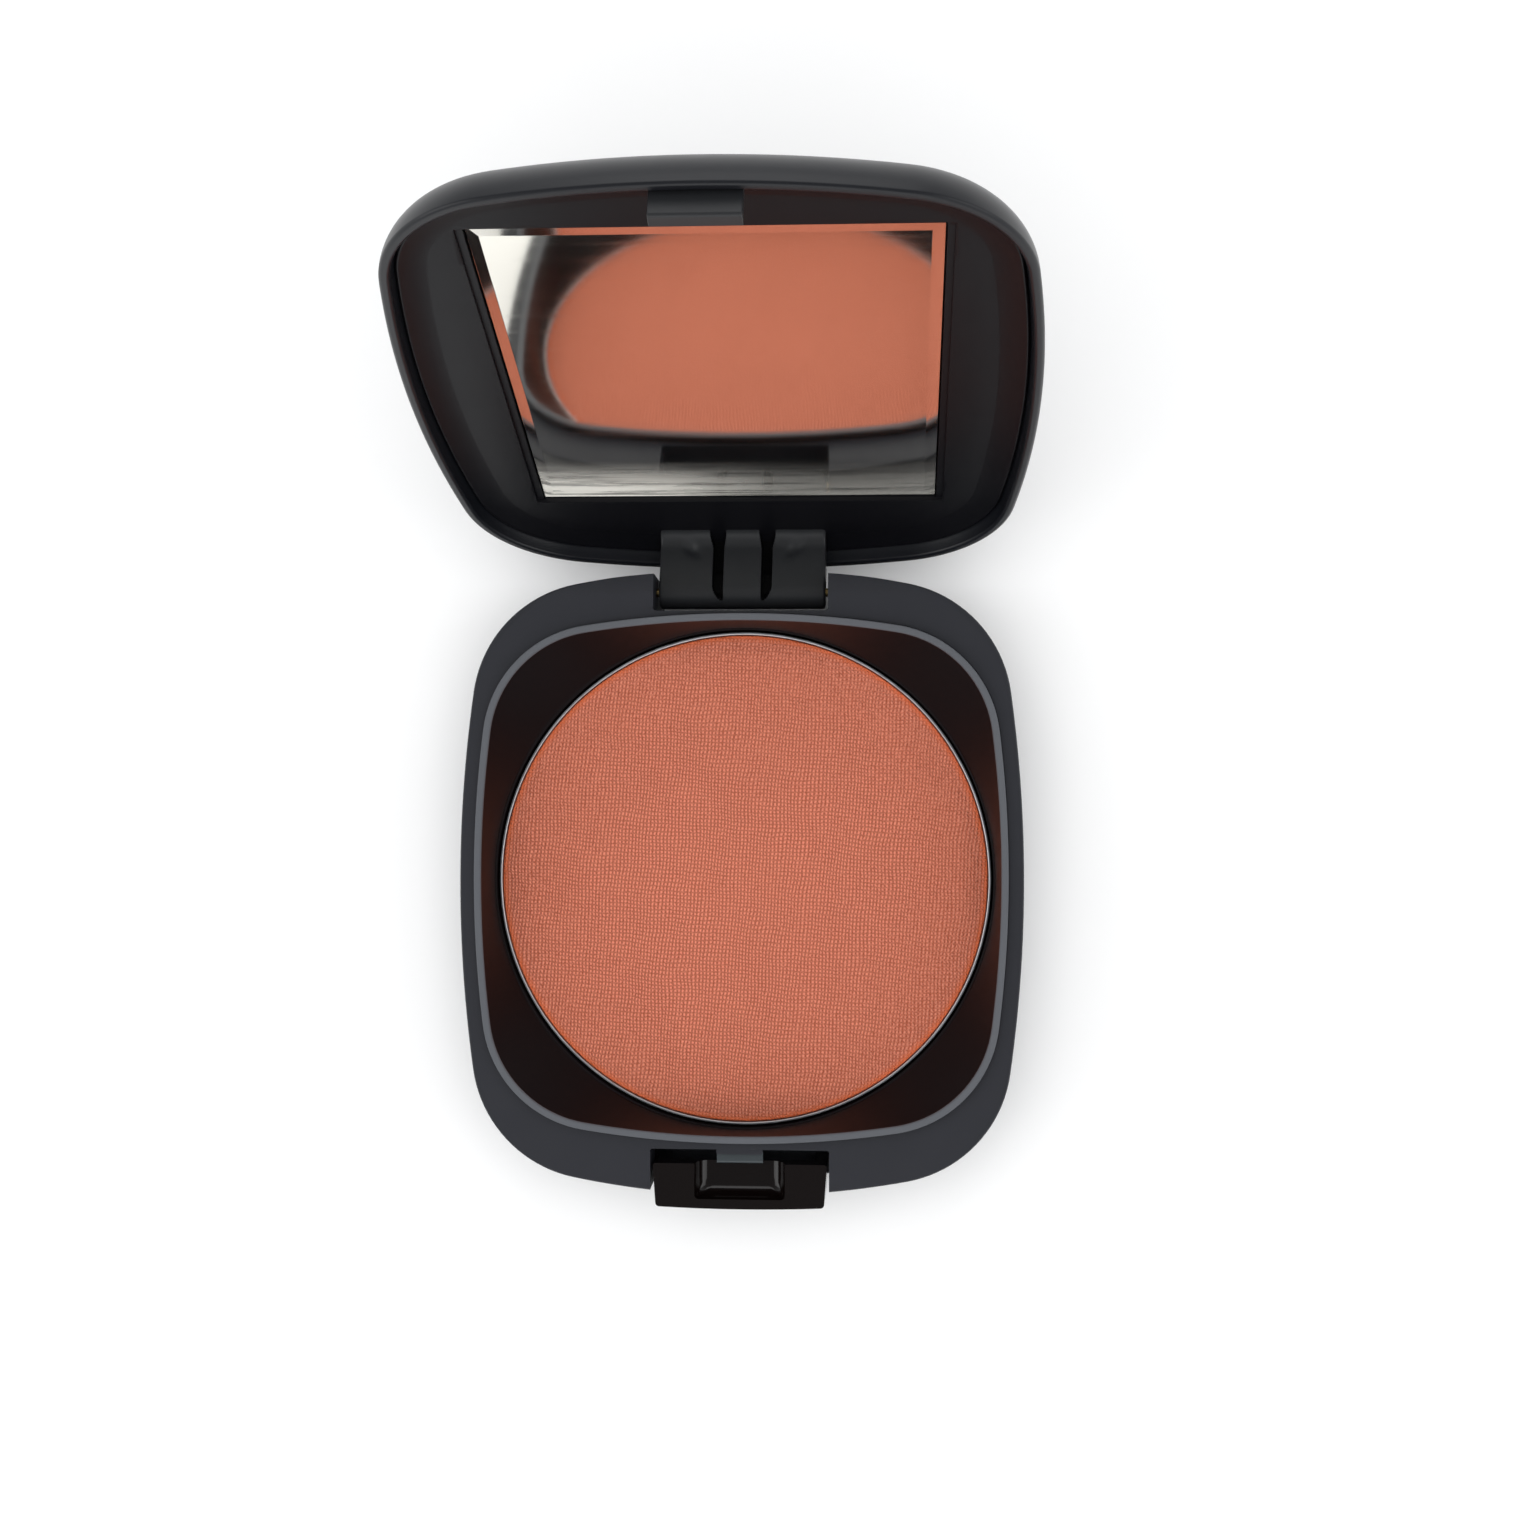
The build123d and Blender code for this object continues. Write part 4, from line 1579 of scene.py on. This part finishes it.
@dataclass
class LidLiner:
    """The liner with its shallow dish, the mirror's pocket, the hinge block and the hook."""

    # The plate: its sharp front edge, the dish behind it and its rounded back.
    inset: float = 1.3
    edge_z: float = 13.95
    edge_round: float = 0.2
    edge_reach: int = 3
    flat_z: float = 14.95
    curl: float = 9.2
    back_z: float = 17.45
    back_round: float = 4.4
    back_end: float = 0.36
    # The mirror's pocket and the ledge round it.
    pocket_half: tuple[float, float] = (22.65, 25.65)
    mirror_y: float = -1.75
    pocket_z: float = 16.84
    shore: float = 0.93
    ledge: tuple[float, float] = (0.75, 0.05)
    ledge_depth: float = 0.35
    sharp_round: float = 0.07
    # The hinge block: barrel, root in the liner, heel and neck behind.
    block_half: float = 9.8
    block_round: float = 0.3
    barrel_radius: float = 1.95
    bore_radius: float = 0.55
    root_z: float = 16.0
    root_back_y: float = 33.0
    root_fillet: float = 1.9
    root_lift: float = 0.03
    heel_y: float = 36.5
    heel_rise: float = 1.3
    neck_y: float = 34.6
    neck_heights: tuple[float, float] = (12.6, 13.4)
    case_gap: float = 0.12
    # The rib in its middle, the two grooves beside it and the sink marks.
    rib_half: float = 2.2
    groove: float = 1.35
    groove_depth: float = 1.25
    groove_extra: float = 0.3
    groove_extra_z: float = 10.2
    groove_low_z: float = 6.6
    groove_foot_z: float = 8.6
    groove_foot_reach: float = 1.9
    groove_side: float = 0.16
    flare_z: float = 13.3
    flare_run: float = 1.5
    flare: tuple[float, float] = (0.25, 0.6)
    sink: float = 0.38
    sink_x: float = 6.1
    sink_z: float = 13.1
    sink_lean: float = 0.5
    sink_size: tuple[float, float] = (0.7, 0.9)
    # The hook and its barb.
    hook_root_z: float = 14.9
    hook_half: float = 4.25
    hook_front_y: float = -34.9
    hook_back_y: float = -33.25
    hook_tip_z: float = 10.6
    barb: float = 0.12
    barb_heights: tuple[float, float, float] = (0.2, 0.7, 0.85)

    def _plate(self) -> bpy.types.Object:
        """Makes the liner's plate, with its dish, its ledge and the mirror's pocket.

        Returns:
            The plate, drawn shut.
        """
        drop = self.flat_z - self.edge_z
        run = math.sqrt(self.curl**2 - (self.curl - drop) ** 2)
        steps = 16
        face = []
        for back in np.linspace(run, self.shore, steps):
            z = self.flat_z - self.curl + math.sqrt(self.curl**2 - back**2)
            face.append((self.inset + run - back, z))
        low_wall = self.back_z - self.back_round
        rear = [
            (
                self.inset + self.back_round * (1 - math.cos(turn)),
                low_wall + self.back_round * math.sin(turn),
            )
            for turn in np.linspace(math.pi / 2, self.back_end, 9)
        ]
        corner = (self.inset, self.edge_z, self.edge_round)
        edge = soften_path([rear[-1], corner, face[self.edge_reach]], steps=5)
        line = [*rear, *edge[1:-1], *face[self.edge_reach :]]
        rings = [at_height(CASE.ring(inset), z) for inset, z in line]
        half_w, half_h = self.pocket_half
        wide, tall = self.ledge
        ledge = CASE.rectangle(half_w + wide, half_h + tall, self.mirror_y)
        shore, shore_z = CASE.ring(line[-1][0]), line[-1][1]
        for t in np.linspace(0, 1, 6)[1:]:
            rings.append(at_height(shore + (ledge - shore) * t, shore_z + (self.flat_z - shore_z) * t))
        rings.append(at_height(ledge, self.flat_z + self.ledge_depth))
        pocket = CASE.rectangle(half_w, half_h, self.mirror_y)
        rings.append(at_height(pocket, self.flat_z + self.ledge_depth))
        rings.append(at_height(pocket, self.pocket_z))
        plate = Solid().rings(rings).build("lid_liner_plate")
        return bevel(plate, self.sharp_round, 2, 60)

    def _block_profile(self) -> Ring:
        """Draws the hinge block's section in Y and Z.

        Returns:
            Its points, about as far apart as the spacing below.
        """
        spacing = 0.2
        front = HINGE.y - self.barrel_radius
        back = HINGE.y + self.barrel_radius
        reach = self.root_fillet
        neck_low, neck_high = self.neck_heights
        root = arc(front - reach, self.flat_z + self.root_lift - reach, reach, 90, 0, 10)
        corners: list[tuple[float, ...]] = [(front, self.root_z), (front - reach, self.root_z), *root]
        corners += arc(HINGE.y, HINGE.z, self.barrel_radius, 180, 360, 26)
        corners += soften_path(
            [
                (back, HINGE.z),
                (self.heel_y, HINGE.z + self.heel_rise, 0.4),
                (self.heel_y, neck_low, 0.1),
                (self.neck_y, neck_low),
                (self.neck_y, neck_high),
                (self.root_back_y, self.root_z),
            ],
            4,
        )[1:]
        loop = []
        for (y0, z0), (y1, z1) in zip(corners, corners[1:]):
            pieces = max(1, round(math.hypot(y1 - y0, z1 - z0) / spacing))
            for k in range(pieces):
                loop.append((y0 + (y1 - y0) * k / pieces, z0 + (z1 - z0) * k / pieces))
        loop.append(corners[-1])
        return np.array(loop)

    def _face_y(self, z: float) -> float:
        """Tells where the block's front face lies, from the barrel up to the root fillet.

        Args:
            z: Height of the spot.

        Returns:
            Its Y.
        """
        drop = min(max(HINGE.z - z, 0.0), self.barrel_radius)
        rise = min(max(z - self.flat_z + self.root_fillet, 0.0), self.root_fillet)
        barrel = math.sqrt(self.barrel_radius**2 - drop**2)
        fillet = self.root_fillet - math.sqrt(self.root_fillet**2 - rise**2)
        return HINGE.y - barrel - fillet

    def _groove_depth(self, x: float, z: np.ndarray) -> np.ndarray:
        """Tells how deep the front face is pressed in by the grooves and the sink marks.

        Args:
            x: Place along the block.
            z: Heights of the spots.

        Returns:
            The depth at each height.
        """
        narrow, widen = self.flare
        flare = smooth((z - self.flare_z) / self.flare_run)
        inner = self.rib_half - narrow * flare
        below = ((self.groove_foot_z - z) / self.groove_foot_reach).clip(0, 1)
        foot = np.sqrt(np.clip(1 - below**2, 0, 1))
        outer = inner + (self.groove + widen * flare) * foot
        side = self.groove_side
        cut = smooth((abs(x) - inner) / side) * smooth((outer - abs(x)) / side)
        low = smooth((z - self.groove_low_z) / 0.5)
        lean = self.sink_x + self.sink_lean * (z - self.sink_z)
        wide, tall = self.sink_size
        bend = np.exp(-(((abs(x) - lean) / wide) ** 2)) * np.exp(-(((z - self.sink_z) / tall) ** 2))
        deep = self.groove_depth + self.groove_extra * smooth(z - self.groove_extra_z)
        return deep * cut * low + self.sink * bend

    def _block(self) -> bpy.types.Object:
        """Makes the hinge block by sweeping its section along X.

        Returns:
            The block, drawn shut.
        """
        loop = self._block_profile()
        ahead = np.roll(loop, -1, 0) - np.roll(loop, 1, 0)
        inward = np.stack([-ahead[:, 1], ahead[:, 0]], 1)
        inward /= np.linalg.norm(inward, axis=1)[:, None]
        if (inward[0] @ np.array([1.0, 0.0])) < 0:
            inward = -inward
        facing = (loop[:, 0] < HINGE.y - 0.5 * self.barrel_radius) & (loop[:, 1] < self.flat_z)
        corner = self.block_round
        beside_rib = np.linspace(self.rib_half - 0.4, self.rib_half + 2.2, 53)
        near_end = self.block_half - corner * (1 - np.cos(np.linspace(0, math.pi / 2, 7)))
        all_along = np.linspace(-self.block_half, self.block_half, 50)
        places = [all_along, -beside_rib, beside_rib, -near_end, near_end]
        stations = np.unique(np.concatenate(places).round(4))
        rings = []
        for x in stations:
            into = np.where(facing, self._groove_depth(x, loop[:, 1]), 0.0)
            edge = max(0.0, corner - (self.block_half - abs(x)))
            into = into + corner - math.sqrt(max(0.0, corner**2 - edge**2))
            ring = loop + inward * into[:, None]
            limit = CASE.half_depth - x * x / (2 * CASE.end_radius) - self.case_gap
            ring[:, 0] = np.minimum(ring[:, 0], limit)
            rings.append(np.column_stack([np.full(len(ring), x), ring]))
        block = Solid().rings(rings).build("hinge_block")
        bore = arc(HINGE.y, HINGE.z, self.bore_radius, 0, 345, 23)
        return carve(block, [Solid().side_prism(bore, -20, 20)])

    def _hook(self) -> bpy.types.Object:
        """Makes the catch hook.

        Returns:
            The hook, drawn shut.
        """
        back, tip, root = self.hook_back_y, self.hook_tip_z, self.hook_root_z
        low, high, end = self.barb_heights
        corners = [
            (self.hook_front_y, root),
            (self.hook_front_y, tip, 0.35),
            (back, tip, 0.1),
            (back + self.barb, tip + low),
            (back + self.barb, tip + high),
            (back, tip + end),
            (back, root),
        ]
        outline = soften_path(corners, 4, True)
        hook = Solid().side_prism(outline, -self.hook_half, self.hook_half).build("hook")
        return bevel(hook, 0.15, 3, 50)

    def build(self) -> list[bpy.types.Object]:
        """Makes the liner's pieces, with near-black painted shade in the block's grooves.

        Returns:
            The plate, the hinge block and the hook.
        """
        plate = HINGE.open(self._plate())
        dress(shade(plate), Finish.LINER)
        hand_over(plate, "lid", "liner_plastic", "lid_liner")
        block = self._block()
        # The block takes the lighter copy of the liner plastic: painted light.
        dress(block, Finish.BLOCK, Finish.GROOVE)
        # Faces deep in the grooves take the near-black finish: painted shade.
        for face in block.data.polygons:
            x, y, z = face.center / MM
            beside_rib = self.rib_half - 0.3 < abs(x) < self.rib_half + self.groove + 0.7
            if beside_rib and y - self._face_y(z) > 0.22 and z < self.flat_z and y < HINGE.y - 0.3:
                face.material_index = 1
        shade(HINGE.open(block), math.radians(50))
        hand_over(block, "lid", "liner_plastic")
        hook = HINGE.open(self._hook())
        # The hook also takes the lighter copy of the liner plastic: painted light.
        dress(shade(hook), Finish.BLOCK)
        hand_over(hook, "lid", "liner_plastic")
        return [plate, block, hook]


@dataclass
class LidMirror:
    """The bevelled mirror in the lid."""

    half_width: float = 22.5
    half_height: float = 25.5
    centre_y: float = -1.75
    face_z: float = 15.24
    thickness: float = 1.4
    bevel_width: float = 1.25
    bevel_depth: float = 0.35
    edge_round: float = 0.03
    bow_radius: float = 1800.0
    lean: float = 0.012

    def _rectangle(self, inset: float, z: float) -> Ring:
        """Draws the mirror's outline.

        Args:
            inset: Distance inside its full size.
            z: Height of the outline.

        Returns:
            Its four corners.
        """
        w, h = self.half_width - inset, self.half_height - inset
        y = self.centre_y
        return at_height(np.array([(-w, y - h), (w, y - h), (w, y + h), (-w, y + h)]), z)

    def build(self) -> bpy.types.Object:
        """Makes the mirror.

        Returns:
            The finished object.
        """
        edge = self.face_z + self.bevel_depth
        rings = [
            self._rectangle(0, self.face_z + self.thickness),
            self._rectangle(0, edge + 0.06),
            self._rectangle(0.04, edge),
            self._rectangle(self.bevel_width, self.face_z),
        ]
        piece = Solid().rings(rings).build("mirror_glass")
        bevel(piece, self.edge_round, 2, 10)
        HINGE.open(piece)
        dress(shade(piece, math.radians(3)), Finish.MIRROR)
        self._lean_bevel(piece)
        return hand_over(piece, "lid", "mirror_glass", "mirror")

    def _lean_bevel(self, piece: bpy.types.Object) -> None:
        """Sets how the glass reflects.

        The silver lies behind the glass, so the bevel works as a prism: its reflection leans
        towards the middle of the mirror by half its slope. The thin sheet is also bowed a
        little by its tape, and leans a little in its pocket.

        Args:
            piece: The mirror, already open.
        """
        piece.modifiers.clear()
        data = piece.data
        flat = Matrix.Rotation(-HINGE.turn, 3, "X") @ Vector((0, 0, -1))
        steepest = math.cos(math.radians(40))
        normals = [Vector()] * len(data.loops)
        for face in data.polygons:
            facing = face.normal.dot(flat)
            lean = (flat * 1.5 - face.normal * 0.5).normalized() if facing > steepest else face.normal
            for k in face.loop_indices:
                side = data.vertices[data.loops[k].vertex_index].co.x / MM / self.bow_radius
                bow = Vector((side, 0, -self.lean)) if facing > steepest else Vector()
                normals[k] = (lean + bow).normalized()
        data.normals_split_custom_set(normals)


@dataclass
class Films:
    """The adhesive films, which stay as the CAD drew them."""

    nodes: tuple[str, ...] = ("pan_adhesive", "mirror_adhesive")

    def build(self) -> None:
        """Gives the films their finish."""
        for name in self.nodes:
            dress(frame["nodes"][name], Finish.FILM)
            log.info("%s keeps its CAD shape", name)


# ---------------------------------------------------------------- studio


@dataclass
class Studio:
    """Floor, lights, sky and camera."""

    camera_at: tuple[float, float, float] = (17.21, 14.58, 255.18)
    camera_turn: tuple[float, float, float] = (-0.085, 3.509, 0.0996)
    lens: float = 49.47
    floor_half: float = 2500.0
    floor_albedo: float = 0.93
    glow: float = 0.42
    glow_from: tuple[float, float] = (500.0, 1900.0)
    horizon: float = 0.8
    zenith: float = 0.18
    lights: tuple[tuple[str, tuple[float, float, float], float, float], ...] = (
        ("left", (-800, -100, 620), 700, 2.1),
        ("right", (800, -50, 620), 700, 1.7),
        ("front", (50, -850, 560), 700, 1.4),
        ("back", (0, 900, 620), 700, 1.7),
    )
    overhead: tuple[str, tuple[float, float, float], float, float] = (
        "overhead",
        (0, 0, 1200),
        1500,
        12.0,
    )

    def _floor(self) -> None:
        """Lays the floor."""
        half = self.floor_half
        lines = np.linspace(-half, half, 9)
        floor = Solid()
        for y in lines:
            floor.points.extend((x, y, -0.02) for x in lines)
        size = len(lines)
        for j in range(size - 1):
            for i in range(size - 1):
                k = j * size + i
                floor.faces.append((k, k + 1, k + size + 1, k + size))
        piece = floor.build("floor")
        tree = Tree("floor_paper")
        cloud = tree.noise(8, 3)
        low, high = self.floor_albedo * 0.99, self.floor_albedo
        tree.link(tree.blend(cloud, (low,) * 3, (high,) * 3), tree.shader.inputs["Base Color"])
        reach = tree.nodes.new("ShaderNodeVectorMath")
        reach.operation = "LENGTH"
        tree.link(tree.place, reach.inputs[0])
        near, far = (distance * MM for distance in self.glow_from)
        glow = tree.span(reach.outputs["Value"], near, far, 0, self.glow)
        tree.link(glow, tree.shader.inputs["Emission Strength"])
        tree.set(Roughness=0.9, Specular_IOR_Level=0.1, Emission_Color=(1.0, 1.0, 1.0, 1.0))
        piece.data.materials.append(tree.material)

    def _sky(self) -> None:
        """Makes a sky that is bright at the horizon and dim overhead."""
        world = bpy.data.worlds.new("studio")
        bpy.context.scene.world = world
        world.use_nodes = True
        nodes, links = world.node_tree.nodes, world.node_tree.links
        nodes.clear()
        output = nodes.new("ShaderNodeOutputWorld")
        light = nodes.new("ShaderNodeBackground")
        place = nodes.new("ShaderNodeTexCoord")
        split = nodes.new("ShaderNodeSeparateXYZ")
        ramp = nodes.new("ShaderNodeMapRange")
        ramp.interpolation_type = "SMOOTHSTEP"
        for name, number in (
            ("From Min", 0.0),
            ("From Max", 0.95),
            ("To Min", self.horizon),
            ("To Max", self.zenith),
        ):
            ramp.inputs[name].default_value = number
        links.new(place.outputs["Generated"], split.inputs[0])
        links.new(split.outputs["Z"], ramp.inputs["Value"])
        links.new(ramp.outputs["Result"], light.inputs["Strength"])
        light.inputs["Color"].default_value = (0.97, 0.985, 1.0, 1.0)
        links.new(light.outputs[0], output.inputs[0])

    def _lamp(
        self, name: str, spot: tuple[float, float, float], size: float, watts: float
    ) -> bpy.types.Object:
        """Hangs one square softbox that faces the compact.

        Args:
            name: Name of the lamp.
            spot: Where it hangs, in millimetres.
            size: Length of its side in millimetres.
            watts: Its power.

        Returns:
            The lamp.
        """
        data = bpy.data.lights.new(name, "AREA")
        data.shape = "SQUARE"
        data.size = size * MM
        data.energy = watts
        lamp = bpy.data.objects.new(name, data)
        lamp.location = Vector(spot) * MM
        lamp.rotation_euler = (-lamp.location).to_track_quat("-Z", "Y").to_euler()
        bpy.context.scene.collection.objects.link(lamp)
        return lamp

    def _camera(self) -> None:
        """Sets up the camera."""
        data = bpy.data.cameras.new("camera")
        data.lens = self.lens
        data.sensor_width = 36.0
        data.clip_start = 0.01
        camera = bpy.data.objects.new("camera", data)
        camera.location = Vector(self.camera_at) * MM
        camera.rotation_euler = tuple(math.radians(a) for a in self.camera_turn)
        bpy.context.scene.collection.objects.link(camera)
        bpy.context.scene.camera = camera

    def build(self) -> None:
        """Sets up the whole studio."""
        scene = bpy.context.scene
        scene.view_settings.view_transform = "Standard"
        scene.view_settings.look = "None"
        self._floor()
        self._sky()
        for name, spot, size, watts in self.lights:
            self._lamp(name, spot, size, watts)
        # The overhead box acts as a cross-polarised light: it lights colours and makes no glare.
        self._lamp(*self.overhead).visible_glossy = False
        self._camera()
        log.info("studio ready with %d softboxes", len(self.lights))


def write_sizes() -> None:
    """Updates the view layer."""
    bpy.context.view_layer.update()


def main() -> None:
    """Builds every sub-assembly in order."""
    logging.basicConfig(level=logging.INFO, format="%(name)s: %(message)s")
    Studio().build()
    for part in (
        BaseShell(),
        TrayInsert(),
        PowderPan(),
        Label(),
        HingePin(),
        Latch(),
        LidShell(),
        LidLiner(),
        LidMirror(),
        Films(),
    ):
        part.build()
    write_sizes()


if __name__ == "__main__":
    main()
